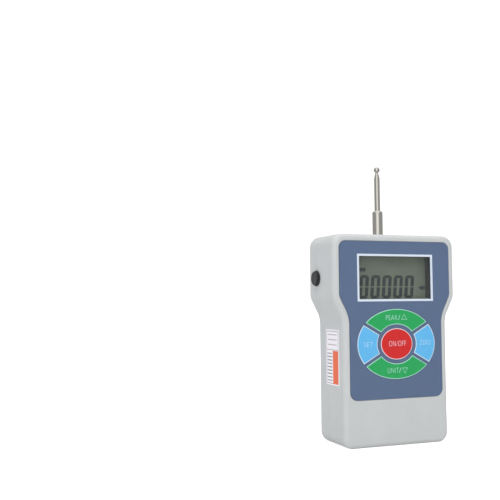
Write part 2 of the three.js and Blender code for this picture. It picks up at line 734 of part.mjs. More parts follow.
// Keys, each with the switch that it presses
function addKeys() {
  const ring = new THREE.Group();
  ring.position.set(0, frontY, keyRingZ);
  for (const key of keys) {
    const leg = rod("y", keyLegRadius, keyLegLength + restGap);
    const cap = keyPlate(key, 0, keyThickness).add(leg.translate([key.x, keyThickness - restGap, key.z]));
    addPiece(key.name + "_key", cap, key.material, ring, 0, keyFrontDepth, 0);

    const plunger = rod("y", plungerRadius, plungerStand + plungerSink);
    addPiece(key.name + "_plunger", plunger, blackPlastic, ring, key.x, plungerDepth, key.z);

    const bodyDepth = boardDepth - restGap - switchHeight;
    const well = rod("y", plungerRadius + slideGap, plungerSink + keyTravel + restGap + overrun);
    const body = block(switchWidth, switchHeight, switchWidth).translate([0, switchHeight / 2, 0]);
    const hollowed = body.subtract(well.translate([0, -overrun, 0]));
    addPiece(key.name + "_switch", hollowed, chipEpoxy, ring, key.x, bodyDepth, key.z);
  }
  gauge.add(ring);
}

// Board, cut back round the case screws' bosses
function mainBoard() {
  const corner = boardCornerRadius;
  let board = sheet(gaugeOutline(boardInset, boardLowZ, boardHighZ, corner, corner), boardThickness);
  for (const place of caseScrewPlaces) {
    const notch = rod("y", frontBossRadius + seatGap, boardThickness + 2 * overrun, roundSides);
    board = board.subtract(notch.translate([place.x, -overrun, place.z]));
  }
  for (const place of boardScrewPlaces) {
    const hole = rod("y", smallScrewRadius + screwFit, boardThickness + 2 * overrun);
    board = board.subtract(hole.translate([place.x, -overrun, place.z]));
  }
  return board;
}

// A chip with a row of bent leads on two sides, its underside at zero.
function chip(width, length, height, leadCount) {
  let body = block(width, height, length).translate([0, height / 2 + restGap, 0]);
  const pitch = length / (leadCount + 1);
  for (let i = 1; i <= leadCount; i += 1) {
    const arm = block(width + 2 * chipLeadReach, chipLeadThickness, chipLeadWidth);
    body = body.add(arm.translate([0, height / 2, i * pitch - length / 2]));
  }
  const foot = block(chipLeadThickness, height / 2 + chipLeadThickness, chipLeadWidth);
  for (const side of [-1, 1]) {
    for (let i = 1; i <= leadCount; i += 1) {
      const x = side * (width / 2 + chipLeadReach);
      body = body.add(foot.translate([x, (height / 2 + chipLeadThickness) / 2, i * pitch - length / 2]));
    }
  }
  return body;
}

// A pin header's housing, open to the back.
function connector() {
  const body = block(connectorWidth, connectorHeight, connectorLength).translate([0, connectorHeight / 2, 0]);
  const mouthWidth = connectorWidth - 2 * connectorWall;
  const mouthLength = connectorLength - 2 * connectorWall;
  const mouth = block(mouthWidth, connectorHeight, mouthLength);
  return body.subtract(mouth.translate([0, connectorHeight / 2 + connectorWall, 0]));
}

function addBoard() {
  addPiece("main_board", mainBoard(), boardGreen, gauge, 0, frontY + boardDepth, 0);
  const electronics = new THREE.Group();
  electronics.position.set(0, boardBackY + restGap, chipZ);
  const controller = chip(controllerWidth, controllerWidth, controllerHeight, controllerLeads);
  addPiece("microcontroller", controller, chipEpoxy, electronics, chipX, 0, 0);
  const amplifier = chip(amplifierWidth, amplifierLength, amplifierHeight, amplifierLeads);
  addPiece("amplifier_chip", amplifier, chipEpoxy, electronics, -chipX, 0, 0);
  addPiece("battery_connector", connector(), whiteNylon, electronics, connectorX, 0, -connectorDrop);
  addPiece("sensor_connector", connector(), whiteNylon, electronics, -connectorX, 0, -connectorDrop);
  gauge.add(electronics);
}

// Load cell: an upright beam with two round holes joined by a slot, so that thin webs bend left and right
function loadCell() {
  const height = cellHighZ - cellLowZ;
  let beam = block(cellWidth, cellThickness, height).translate([0, 0, height / 2]);
  const cut = { depth: cellThickness + 2 * overrun, startY: -cellThickness / 2 - overrun };
  for (const side of [-1, 1]) {
    const hole = rod("y", cellHoleRadius, cut.depth, roundSides);
    beam = beam.subtract(hole.translate([0, cut.startY, height / 2 + (side * cellHoleSpacing) / 2]));
  }
  const slot = block(cellSlotHeight, cut.depth, cellHoleSpacing);
  beam = beam.subtract(slot.translate([0, 0, height / 2]));
  const boltHole = rod("z", cellBoltRadius + screwFit, cellBoltReach + restGap + overrun);
  const studHole = rod("z", studRadius + screwFit, studReach + restGap + overrun);
  return beam
    .subtract(boltHole.translate([0, 0, -overrun]))
    .subtract(studHole.translate([0, 0, height - studReach - restGap]));
}

// The bracket under it: a thick hub with two thinner ears, bolted to the rear shell
function cellBracket() {
  const hub = block(bracketHub, cellThickness - restGap, bracketHeight);
  const ears = block(2 * bracketHalfLength, bracketEar, bracketHeight);
  const earY = (cellThickness - restGap - bracketEar) / 2;
  let bracket = hub.add(ears.translate([0, earY, 0])).translate([0, -restGap / 2, bracketHeight / 2]);
  const boltHole = rod("z", cellBoltRadius + screwFit, bracketHeight + 2 * overrun);
  const headHole = rod("z", cellBoltHeadRadius + slideGap, cellBoltHeadHeight + restGap + overrun);
  bracket = bracket.subtract(boltHole.add(headHole).translate([0, 0, -overrun]));
  for (const place of bracketScrewPlaces) {
    const hole = rod("y", bracketScrewRadius + screwFit, cellThickness + 2 * overrun);
    bracket = bracket.subtract(hole.translate([place.x, -cellThickness / 2 - overrun, bracketHeight / 2]));
  }
  return bracket;
}

// A screw or bolt standing on its head's underside, with its shank up to a pointed end along the axis.
function screw(axis, radius, length, headRadius, headHeight) {
  const profile = [
    [0, -headHeight],
    [headRadius * domeShare, -headHeight],
    [headRadius, -headHeight * domeShare],
    [headRadius, 0],
    [radius, 0],
    [radius, length - screwPointLength],
    [radius * pointShare, length],
    [0, length],
  ];
  const arm = headRadius * recessShare;
  const cross = block(arm * 2, recessSink * 2, recessArm).add(block(recessArm, recessSink * 2, arm * 2));
  const body = turned("y", profile).subtract(cross.translate([0, -headHeight, 0]));
  return axis === "z" ? body.rotate([90, 0, 0]) : body;
}

function addSensor() {
  const sensor = new THREE.Group();
  sensor.position.set(0, seamY, 0);
  addPiece("load_cell", loadCell(), aluminium, sensor, 0, 0, cellLowZ);
  const pad = block(gaugeThickness, gaugeWidth, gaugeLength);
  const padX = cellWidth / 2 + restGap + gaugeThickness / 2;
  addPiece("strain_gauge_left", pad, whiteSilicone, sensor, -padX, 0, cellMidZ);
  addPiece("strain_gauge_right", pad, whiteSilicone, sensor, padX, 0, cellMidZ);
  addPiece("load_cell_bracket", cellBracket(), zincSteel, sensor, 0, 0, bracketZ);
  const boltLength = bracketHeight - cellBoltHeadHeight + cellBoltReach - restGap;
  const bolt = screw("z", cellBoltRadius, boltLength, cellBoltHeadRadius, cellBoltHeadHeight);
  addPiece("load_cell_bolt", bolt, zincSteel, sensor, 0, 0, bracketZ + cellBoltHeadHeight);
  gauge.add(sensor);
}

// Feeler: the holder screwed into the load cell, its lock nut, and the ball-ended rod in it
function lockNut() {
  const corner = nutWidth / 2 / Math.cos(Math.PI / nutSides);
  const hexagon = rod("z", corner, nutHeight, nutSides);
  const rounding = turned("z", [
    [0, 0],
    [nutWidth / 2, 0],
    [corner, nutHeight * nutChamferShare],
    [corner, nutHeight * (1 - nutChamferShare)],
    [nutWidth / 2, nutHeight],
    [0, nutHeight],
  ], roundSides);
  const hole = rod("z", studRadius + screwFit, nutHeight + 2 * overrun);
  return hexagon.intersect(rounding).subtract(hole.translate([0, 0, -overrun]));
}

function feelerHolder() {
  const studLength = holderLowZ - (cellHighZ - studReach);
  const height = holderHighZ - holderLowZ;
  const holder = turned("z", [
    [0, -studLength],
    [studRadius, -studLength],
    [studRadius, 0],
    [holderRadius, 0],
    [holderRadius, height - holderChamfer],
    [holderRadius - holderChamfer, height],
    [0, height],
  ], roundSides);
  const seat = rod("z", feelerRadius + screwFit, feelerSeat + restGap + overrun, roundSides);
  return holder.subtract(seat.translate([0, 0, height - feelerSeat - restGap]));
}

// The feeler's rod thins in a rounded cone to its neck and ends in a ball.
function feelerTip() {
  const ballZ = feelerRise - ballRadius;
  const neckAngle = Math.asin(neckRadius / ballRadius);
  const neckZ = ballZ - ballRadius * Math.cos(neckAngle);
  const coneZ = neckZ - feelerTaper;
  const cone = new THREE.QuadraticBezierCurve(
    new THREE.Vector2(feelerRadius, coneZ),
    new THREE.Vector2(feelerRadius, coneZ + feelerTaper * coneBendShare),
    new THREE.Vector2(neckRadius, neckZ),
  );
  const profile = [
    [0, -feelerSeat],
    [feelerRadius, -feelerSeat],
  ];
  for (const point of cone.getPoints(feelerConeSteps)) profile.push([point.x, point.y]);
  for (let i = 1; i < ballSteps; i += 1) {
    const angle = neckAngle + ((Math.PI - neckAngle) * i) / ballSteps;
    profile.push([ballRadius * Math.sin(angle), ballZ - ballRadius * Math.cos(angle)]);
  }
  profile.push([0, feelerRise]);
  return turned("z", profile, feelerSides);
}

function addFeeler() {
  const feeler = new THREE.Group();
  feeler.position.set(0, seamY, 0);
  addPiece("probe_lock_nut", lockNut(), zincSteel, feeler, 0, 0, nutZ);
  addPiece("probe_holder", feelerHolder(), polishedSteel, feeler, 0, 0, holderLowZ);
  addPiece("probe_tip", feelerTip(), polishedSteel, feeler, 0, 0, holderHighZ);
  gauge.add(feeler);
}

// Charging socket behind the left wall, with its contact pin and the rubber plug that closes it
function chargingSocket() {
  const body = block(socketLength, socketWidth, socketHeight).translate([socketLength / 2, 0, 0]);
  const bore = rod("x", socketBoreRadius, socketBoreDepth + overrun, roundSides);
  const pinHole = rod("x", socketPinRadius + screwFit, socketLength - socketPinTail, smallSides);
  return body.subtract(bore.translate([-overrun, 0, 0])).subtract(pinHole);
}

// The plug, with its inner end at zero and its cap towards -X
function socketPlug() {
  const flangeX = -plugShankLength;
  const capX = flangeX - plugFlangeThickness;
  const topX = capX - plugCapHeight;
  const plug = turned("x", [
    [0, topX],
    [plugCapRadius - plugRound, topX],
    [plugCapRadius, topX + plugRound],
    [plugCapRadius, capX - plugGrooveWidth],
    [plugCapRadius - plugGrooveDepth, capX - plugGrooveWidth],
    [plugCapRadius - plugGrooveDepth, capX],
    [plugFlangeRadius - plugGrooveDepth, capX],
    [plugFlangeRadius, capX + plugGrooveDepth],
    [plugFlangeRadius, flangeX],
    [plugShankRadius, flangeX],
    [plugShankRadius, -plugRound],
    [plugShankRadius - plugRound, 0],
    [0, 0],
  ], roundSides);
  const pinRoom = rod("x", socketPinRadius + seatGap, plugShankLength + overrun);
  return plug.subtract(pinRoom.translate([-plugShankLength + plugFlangeThickness, 0, 0]));
}

function addSocket() {
  const socket = new THREE.Group();
  socket.position.set(socketFaceX, socketY, windowZ);
  addPiece("charging_socket", chargingSocket(), blackPlastic, socket);
  const pinLength = socketLength - socketPinTail - socketPinSetback - restGap;
  const pin = rod("x", socketPinRadius, pinLength);
  addPiece("socket_pin", pin, brass, socket, socketPinSetback, 0, 0);
  const plugX = -headHalf - restGap + plugShankLength - socketFaceX;
  addPiece("socket_plug", socketPlug(), blackRubber, socket, plugX, 0, 0);
  gauge.add(socket);
}

// Battery: three cells side by side in one shrink wrap, lying across the grip
function batteryPack() {
  const radius = batteryCellDiameter / 2 + batteryWrap;
  const length = 2 * batteryHalfLength;
  let pack = block(length, batteryCellDiameter * wrapFlatShare, batteryHeight - 2 * radius);
  for (let i = 0; i < cellCount; i += 1) {
    const z = (i - (cellCount - 1) / 2) * batteryCellDiameter;
    const cell = turned("x", [
      [0, 0],
      [radius - batteryWrap, 0],
      [radius, batteryWrap],
      [radius, length - batteryWrap],
      [radius - batteryWrap, length],
      [0, length],
    ], batterySides);
    pack = pack.add(cell.translate([-length / 2, 0, z]));
  }
  return pack;
}

function addBattery() {
  const middleZ = (batteryLow + batteryHigh) / 2;
  addPiece("battery_pack", batteryPack(), greenWrap, gauge, 0, batteryY + batteryThickness / 2, middleZ);
  const padY = boardBackY + restGap;
  const padThickness = batteryY - restGap - padY;
  const padLow = boardLowZ + foamMargin;
  const padHeight = batteryHigh - foamMargin - padLow;
  const pad = sheet(rectangle(foamWidth / 2, padHeight / 2, foamMargin), padThickness);
  addPiece("foam_pad", pad, blackFoam, gauge, 0, padY, padLow + padHeight / 2);
}

// A round lead along a smooth curve through a few points.
function lead(points, radius) {
  const section = new THREE.Shape();
  section.absarc(0, 0, radius, 0, Math.PI * 2, false);
  const extrudePath = new THREE.CatmullRomCurve3(points.map(([x, y, z]) => new THREE.Vector3(x, y, z)));
  const options = { steps: leadSteps, extrudePath, curveSegments: leadSides / 2 };
  return toSolid(new THREE.ExtrudeGeometry(section, options));
}

// Battery leads go up past the end of the bracket's ear and into their connector from behind.
// The side is -1 for the inner lead and 1 for the outer one.
function batteryLead(side) {
  const offset = (side * leadSpacing) / 2;
  const startX = batteryHalfLength - leadInset + offset;
  const startY = batteryY + batteryThickness / 2 + offset;
  const passX = bracketScrewX + bracketScrewHeadRadius + leadPassage + offset;
  const passY = earFrontY - leadBend + (side * leadRadius) / 2;
  return lead([
    [startX, startY, batteryHigh + restGap],
    [startX, startY - leadRadius, batteryHigh + leadBend],
    [passX, passY, bracketZ],
    [passX, earFrontY - leadSpacing, bracketHighZ + leadSpacing / 2 + offset],
    [connectorX, connectorBackY + leadBend, connectorZ + offset],
    [connectorX, connectorBackY - leadPlugDepth, connectorZ + offset],
  ], leadRadius);
}

function sensorLead() {
  const gaugeX = cellWidth / 2 + gaugeThickness + 2 * restGap;
  return lead([
    [-gaugeX, seamY, cellMidZ],
    [-gaugeX - leadBend, seamY, cellMidZ],
    [(-gaugeX - connectorX) / 2, connectorBackY + leadBend, (cellMidZ + connectorZ) / 2],
    [-connectorX, connectorBackY + leadBend, connectorZ],
    [-connectorX, connectorBackY - leadPlugDepth, connectorZ],
  ], sensorLeadRadius);
}

// The charging lead leaves the socket's tail, passes under the socket and ends on the board.
function chargingLead() {
  const tailX = socketFaceX + socketLength + seatGap;
  const underZ = windowZ - socketHeight / 2 - leadBend;
  const padX = -headHalf + chargingLeadSetback;
  const padZ = windowZ - chargingLeadDrop;
  return lead([
    [tailX, socketY, windowZ],
    [tailX + leadBend, socketY, windowZ - leadRadius],
    [tailX + leadBend, socketY, underZ + leadBend],
    [tailX, socketY - leadRadius, underZ],
    [padX, boardBackY + leadBend, padZ],
    [padX, boardBackY + restGap, padZ],
  ], leadRadius);
}

function addLeads() {
  addPiece("battery_lead_red", batteryLead(-1), redInsulation);
  addPiece("battery_lead_black", batteryLead(1), blackInsulation);
  addPiece("sensor_cable", sensorLead(), greyInsulation);
  addPiece("charging_lead", chargingLead(), blackInsulation);
}

// A row of like screws: the case screws and the board's go in from the back, the bracket's from the front.
function addScrewRow(places, solid, seatY, turn) {
  for (const place of places) {
    const mesh = addPiece(place.name, solid, zincSteel, gauge, place.x, seatY, place.z);
    mesh.rotation.z = turn;
  }
}

function addScrews() {
  const caseScrew = screw("y", caseScrewRadius, caseScrewLength, caseScrewHeadRadius, caseScrewHeadHeight);
  addScrewRow(caseScrewPlaces, caseScrew, caseSeatY, Math.PI);
  const boardHead = smallScrewHeadHeight;
  const smallScrew = screw("y", smallScrewRadius, smallScrewLength, smallScrewHeadRadius, boardHead);
  addScrewRow(boardScrewPlaces, smallScrew, boardBackY + restGap, Math.PI);
  const bracketHead = bracketScrewHeadHeight;
  const longScrew = screw("y", bracketScrewRadius, bracketScrewLength, bracketScrewHeadRadius, bracketHead);
  addScrewRow(bracketScrewPlaces, longScrew, earFrontY - restGap, 0);
}

addPiece("front_shell", frontShell(), greyPlastic);
addPiece("rear_shell", rearShell(), greyPlastic);
addPiece("membrane_overlay", membraneOverlay(), bluePolyester, gauge, 0, overlayY, 0);
addDisplay();
addKeys();
addBoard();
addSensor();
addFeeler();
addSocket();
addBattery();
addLeads();
addScrews();

export default gauge;
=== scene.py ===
# Looks of a hand-held digital force gauge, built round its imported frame.
# Blender works in metres; the sizes in the dictionaries here are millimetres.
import math

import bmesh
import bpy
from mathutils import Matrix, Vector


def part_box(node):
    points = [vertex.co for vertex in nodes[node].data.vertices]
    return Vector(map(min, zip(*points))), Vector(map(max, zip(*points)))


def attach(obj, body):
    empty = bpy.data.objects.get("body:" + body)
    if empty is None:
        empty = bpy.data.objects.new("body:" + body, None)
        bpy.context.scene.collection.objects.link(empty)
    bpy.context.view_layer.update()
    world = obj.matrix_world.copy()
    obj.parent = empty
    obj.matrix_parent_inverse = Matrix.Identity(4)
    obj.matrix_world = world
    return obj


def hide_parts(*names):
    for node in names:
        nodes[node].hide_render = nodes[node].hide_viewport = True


mm = 0.001
quarter = math.pi / 2
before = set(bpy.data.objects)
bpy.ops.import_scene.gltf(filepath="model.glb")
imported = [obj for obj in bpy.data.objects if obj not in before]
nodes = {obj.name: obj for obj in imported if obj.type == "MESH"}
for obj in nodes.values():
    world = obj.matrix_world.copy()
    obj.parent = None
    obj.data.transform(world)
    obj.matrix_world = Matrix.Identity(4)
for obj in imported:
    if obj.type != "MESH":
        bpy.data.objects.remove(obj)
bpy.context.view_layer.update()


def cadBox(node):
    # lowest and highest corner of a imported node, in millimetres
    low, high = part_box(node)
    return low / mm, high / mm


# Small tools for colours, nodes and meshes
def linear(hexText):
    # an sRGB hex value as linear light
    shares = [int(hexText[i:i + 2], 16) / 255 for i in (1, 3, 5)]
    return (*(s / 12.92 if s <= 0.04045 else ((s + 0.055) / 1.055) ** 2.4 for s in shares), 1.0)


def addNode(tree, kind, values=None):
    # a value is the node's own setting, an input's number or colour, or a socket that is linked to the input
    # what comes back is the node's first output in use
    node = tree.nodes.new(kind)
    for key, value in (values or {}).items():
        if isinstance(key, str) and key not in node.inputs and hasattr(node, key):
            setattr(node, key, value)
        elif isinstance(value, bpy.types.NodeSocket):
            tree.links.new(value, node.inputs[key])
        else:
            node.inputs[key].default_value = value
    return next((socket for socket in node.outputs if socket.enabled), node)


def newMaterial(name):
    material = bpy.data.materials.new(name)
    material.use_nodes = True
    material.node_tree.nodes.clear()
    return material


def settle(piece):
    # the modifiers' result becomes the piece's own mesh
    graph = bpy.context.evaluated_depsgraph_get()
    mesh = bpy.data.meshes.new_from_object(piece.evaluated_get(graph))
    piece.modifiers.clear()
    old = piece.data
    piece.data = mesh
    mesh.name = piece.name
    bpy.data.meshes.remove(old)
    return piece


def addObject(name, form, closed=True):
    if closed:
        bmesh.ops.recalc_face_normals(form, faces=form.faces)
    mesh = bpy.data.meshes.new(name)
    form.to_mesh(mesh)
    form.free()
    piece = bpy.data.objects.new(name, mesh)
    bpy.context.scene.collection.objects.link(piece)
    return piece


def ringMesh(name, rings):
    # a closed skin over rings of points; a ring of one point is a pole
    form = bmesh.new()
    rows = [[form.verts.new(Vector(point) * mm) for point in ring] for ring in rings]
    for low, high in zip(rows, rows[1:]):
        count = max(len(low), len(high))
        for i in range(count):
            j = (i + 1) % count
            corners = [low[i % len(low)], low[j % len(low)], high[j % len(high)], high[i % len(high)]]
            form.faces.new(list(dict.fromkeys(corners)))
    for row in (rows[0], rows[-1]):
        if len(row) > 1:
            form.faces.new(row)
    return addObject(name, form)


def plate(name, outline, profile, middle=(0, 0)):
    # outline(growth) is a list of (x, z); profile is a list of (growth, y) from the front to the back
    rings = [[(x + middle[0], y, z + middle[1]) for x, z in outline(growth)] for growth, y in profile]
    return ringMesh(name, rings)


def turned(name, profile, axis, centre, sides=64):
    # profile is a list of (radius, place along the axis), from the low end up
    rings = []
    for radius, along in profile:
        ring = []
        for i in range(sides if radius > 0 else 1):
            a, b = radius * math.cos(math.tau * i / sides), radius * math.sin(math.tau * i / sides)
            place = {"x": (along, a, b), "y": (a, along, b), "z": (a, b, along)}[axis]
            ring.append([p + c for p, c in zip(place, centre)])
        rings.append(ring)
    return ringMesh(name, rings)


def rod(axis, radius, low, high, centre):
    return turned("tool", [(radius, low), (radius, high)], axis, centre, 48)


def combine(piece, operation, tools):
    for tool in tools:
        step = piece.modifiers.new("step", "BOOLEAN")
        step.operation = operation
        step.solver = "MANIFOLD"
        step.object = tool
    settle(piece)
    for tool in tools:
        bpy.data.meshes.remove(tool.data)
    return piece


def smooth(piece, angle=32):
    # rounds shade smoothly, flats stay flat and edges stay crisp
    mesh = piece.data
    mesh.polygons.foreach_set("use_smooth", [True] * len(mesh.polygons))
    mesh.set_sharp_from_angle(angle=math.radians(angle))
    piece.modifiers.new("normals", "WEIGHTED_NORMAL").keep_sharp = True
    return settle(piece)


def dress(piece, material, body, slot, *replaced):
    piece.data.materials.clear()
    piece.data.materials.append(material)
    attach(piece, body)
    if replaced:
        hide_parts(*replaced)
    return piece


def filmForm(form, points, y, thickness):
    # a flat shape of (x, z) points as thin film whose back lies at y
    rows = [[form.verts.new(Vector((x, layer, z)) * mm) for x, z in points] for layer in (y - thickness, y)]
    for i in range(len(points)):
        j = (i + 1) % len(points)
        form.faces.new((rows[0][i], rows[0][j], rows[1][j], rows[1][i]))
    for row in rows:
        form.faces.new(row)


def arc(middle, radii, start, end, steps):
    # points on an ellipse's arc, angles in radians
    angles = [start + (end - start) * i / steps for i in range(steps + 1)]
    return [(middle[0] + radii[0] * math.cos(a), middle[1] + radii[1] * math.sin(a)) for a in angles]


def roundedRectangle(halfWidth, halfHeight, radius, steps=6):
    points = []
    for i, (sx, sz) in enumerate([(1, -1), (1, 1), (-1, 1), (-1, -1)]):
        middle = (sx * (halfWidth - radius), sz * (halfHeight - radius))
        points += arc(middle, (radius, radius), quarter * (i - 1), quarter * i, steps)
    return points


def slab(half, radius, low, high, middle, steps=6):
    # a cutter or rib from low to high in y, with rounded corners
    return plate("tool", lambda growth: roundedRectangle(*half, radius, steps), [(0, low), (0, high)], middle)


def rounding(radius, growth, y, steps, outward=-1, onward=1):
    # (growth, y) points round an edge, from its face at y to its side
    # outward 1 makes a flare of it, and onward -1 turns it to face the other way
    turns = [quarter * i / steps for i in range(steps + 1)]
    return [(growth + outward * radius * (1 - math.sin(turn)), y + onward * radius * (1 - math.cos(turn)))
            for turn in turns]


# The camera stands where the photograph was taken from
view = {"place": (-210.0, -359.86, 77.0), "yaw": 20.487, "pitch": -3.55, "roll": -0.383, "lens": 54.72,
        "near": 10}


def addCamera():
    yaw, pitch, roll = (math.radians(view[key]) for key in ("yaw", "pitch", "roll"))
    turn = Matrix.Rotation(roll, 3, "Y") @ Matrix.Rotation(pitch, 3, "X") @ Matrix.Rotation(yaw, 3, "Z")
    right, ahead, up = turn
    data = bpy.data.cameras.new("camera")
    data.lens = view["lens"]
    data.clip_start = view["near"] * mm
    camera = bpy.data.objects.new("camera", data)
    facing = Matrix((right, up, -ahead)).transposed().to_4x4()
    camera.matrix_world = Matrix.Translation(Vector(view["place"]) * mm) @ facing
    bpy.context.scene.collection.objects.link(camera)
    bpy.context.scene.camera = camera


addCamera()
print("camera is set")

# Plain white studio
studio = {
    "floorHalf": 3000,
    "floor": "#f4f4f3",
    "floorGlow": 0.75,
    "white": "#ffffff",
    "surroundGlow": 1.1,
    "fillColour": "#f0f5ff",
    "fill": 0.56,
    "steelGrey": 0.55,
    "steelBand": 1.6,
    "bandSide": (0.6, 0.3),
    "bandFront": (0.0, 0.4),
    "aim": (0, 0, 60),
}
lamps = {
    "overhead_softbox": {"place": (-100, -260, 1200), "size": 1400, "power": 12.7, "colour": "#fff9f3"},
    "front_softbox": {"place": (-950, -780, 500), "size": 1000, "power": 3.2, "colour": "#f5f8ff"},
}


def addSurround():
    world = bpy.data.worlds.new("studio")
    world.use_nodes = True
    bpy.context.scene.world = world
    tree = world.node_tree
    tree.nodes.clear()
    ray = addNode(tree, "ShaderNodeLightPath").node.outputs
    place = addNode(tree, "ShaderNodeTexCoord").node.outputs["Generated"]
    # what steel mirrors: a grey room with one bright band that rises behind the camera and runs overhead
    toCamera = Vector((*view["place"][:2], 0)).normalized()
    aside = Vector((-toCamera.y, toCamera.x, 0))
    sideways, ahead = (addNode(tree, "ShaderNodeVectorMath", {"operation": "DOT_PRODUCT", 0: place, 1: way})
                       for way in (aside, toCamera + Vector((0, 0, 1))))
    sideways = addNode(tree, "ShaderNodeMath", {"operation": "ABSOLUTE", 0: sideways})
    inBand, inFront = (addNode(tree, "ShaderNodeMapRange", {
        "interpolation_type": "SMOOTHSTEP", "Value": value, "From Min": start, "From Max": end})
        for value, (start, end) in ((sideways, studio["bandSide"]), (ahead, studio["bandFront"])))
    lit = addNode(tree, "ShaderNodeMath", {"operation": "MULTIPLY", 0: inBand, 1: inFront})
    level = addNode(tree, "ShaderNodeMapRange", {
        "Value": lit, "To Min": studio["steelGrey"], "To Max": studio["steelBand"]})
    mirrored = addNode(tree, "ShaderNodeBackground", {"Strength": level})
    fill, seen = (addNode(tree, "ShaderNodeBackground", {
        "Color": linear(studio[colour]), "Strength": studio[glow]})
        for colour, glow in (("fillColour", "fill"), ("white", "surroundGlow")))
    unseen = addNode(tree, "ShaderNodeMixShader", {0: ray["Is Glossy Ray"], 1: fill, 2: mirrored})
    whole = addNode(tree, "ShaderNodeMixShader", {0: ray["Is Camera Ray"], 1: unseen, 2: seen})
    addNode(tree, "ShaderNodeOutputWorld", {"Surface": whole})


def addLamps():
    for name, look in lamps.items():
        lamp = bpy.data.lights.new(name, "AREA")
        lamp.color = linear(look["colour"])[:3]
        lamp.size = look["size"] * mm
        lamp.energy = look["power"]
        piece = bpy.data.objects.new(name, lamp)
        piece.location = Vector(look["place"]) * mm
        aim = Vector(studio["aim"]) * mm - piece.location
        piece.rotation_euler = aim.to_track_quat("-Z", "Y").to_euler()
        piece.visible_glossy = False
        bpy.context.scene.collection.objects.link(piece)


def addFloor():
    material = newMaterial("white paper sweep")  # matt paper that burns out to white
    tree = material.node_tree
    # the glow lifts the floor to white for the camera alone, and lights nothing
    ray = addNode(tree, "ShaderNodeLightPath").node.outputs
    glow = addNode(tree, "ShaderNodeMath", {
        "operation": "MULTIPLY", 0: ray["Is Camera Ray"], 1: studio["floorGlow"]})
    shader = addNode(tree, "ShaderNodeBsdfPrincipled", {
        "Base Color": linear(studio["floor"]), "Roughness": 1.0, "Specular IOR Level": 0.0,
        "Emission Color": linear(studio["white"]), "Emission Strength": glow})
    addNode(tree, "ShaderNodeOutputMaterial", {"Surface": shader})
    form = bmesh.new()
    bmesh.ops.create_grid(form, x_segments=1, y_segments=1, size=studio["floorHalf"] * mm)
    floor = addObject("floor", form, closed=False)
    floor.data.materials.append(material)
    floor.visible_glossy = False


bpy.context.scene.view_settings.view_transform = "Standard"
addSurround()
addLamps()
addFloor()
print("studio is set")


# Surfaces whose colour, gloss and relief vary over the real size of their grain
def makeFinish(name, look):
    material = newMaterial(name)
    tree = material.node_tree
    place = addNode(tree, "ShaderNodeTexCoord").node.outputs["Object"]
    place = addNode(tree, "ShaderNodeMapping", {"Vector": place, "Scale": look.get("stretch", (1, 1, 1))})
    mottle, grain = (addNode(tree, "ShaderNodeTexNoise", {
        "Vector": place, "Scale": 1 / (look[size] * mm), "Detail": detail})
        for size, detail in (("mottle", 3), ("grain", 2)))
    tint = addNode(tree, "ShaderNodeMix", {
        "data_type": "RGBA", 0: mottle, 6: linear(look["shade"]), 7: linear(look["colour"])})
    low, high = look["roughness"]
    gloss = addNode(tree, "ShaderNodeMapRange", {"Value": grain, "To Min": low, "To Max": high})
    relief = addNode(tree, "ShaderNodeBump", {"Distance": look["relief"] * mm, "Height": grain})
    shader = addNode(tree, "ShaderNodeBsdfPrincipled", {
        "Base Color": tint, "Roughness": gloss, "Normal": relief, **look.get("shader", {})})
    addNode(tree, "ShaderNodeOutputMaterial", {"Surface": shader})
    return material


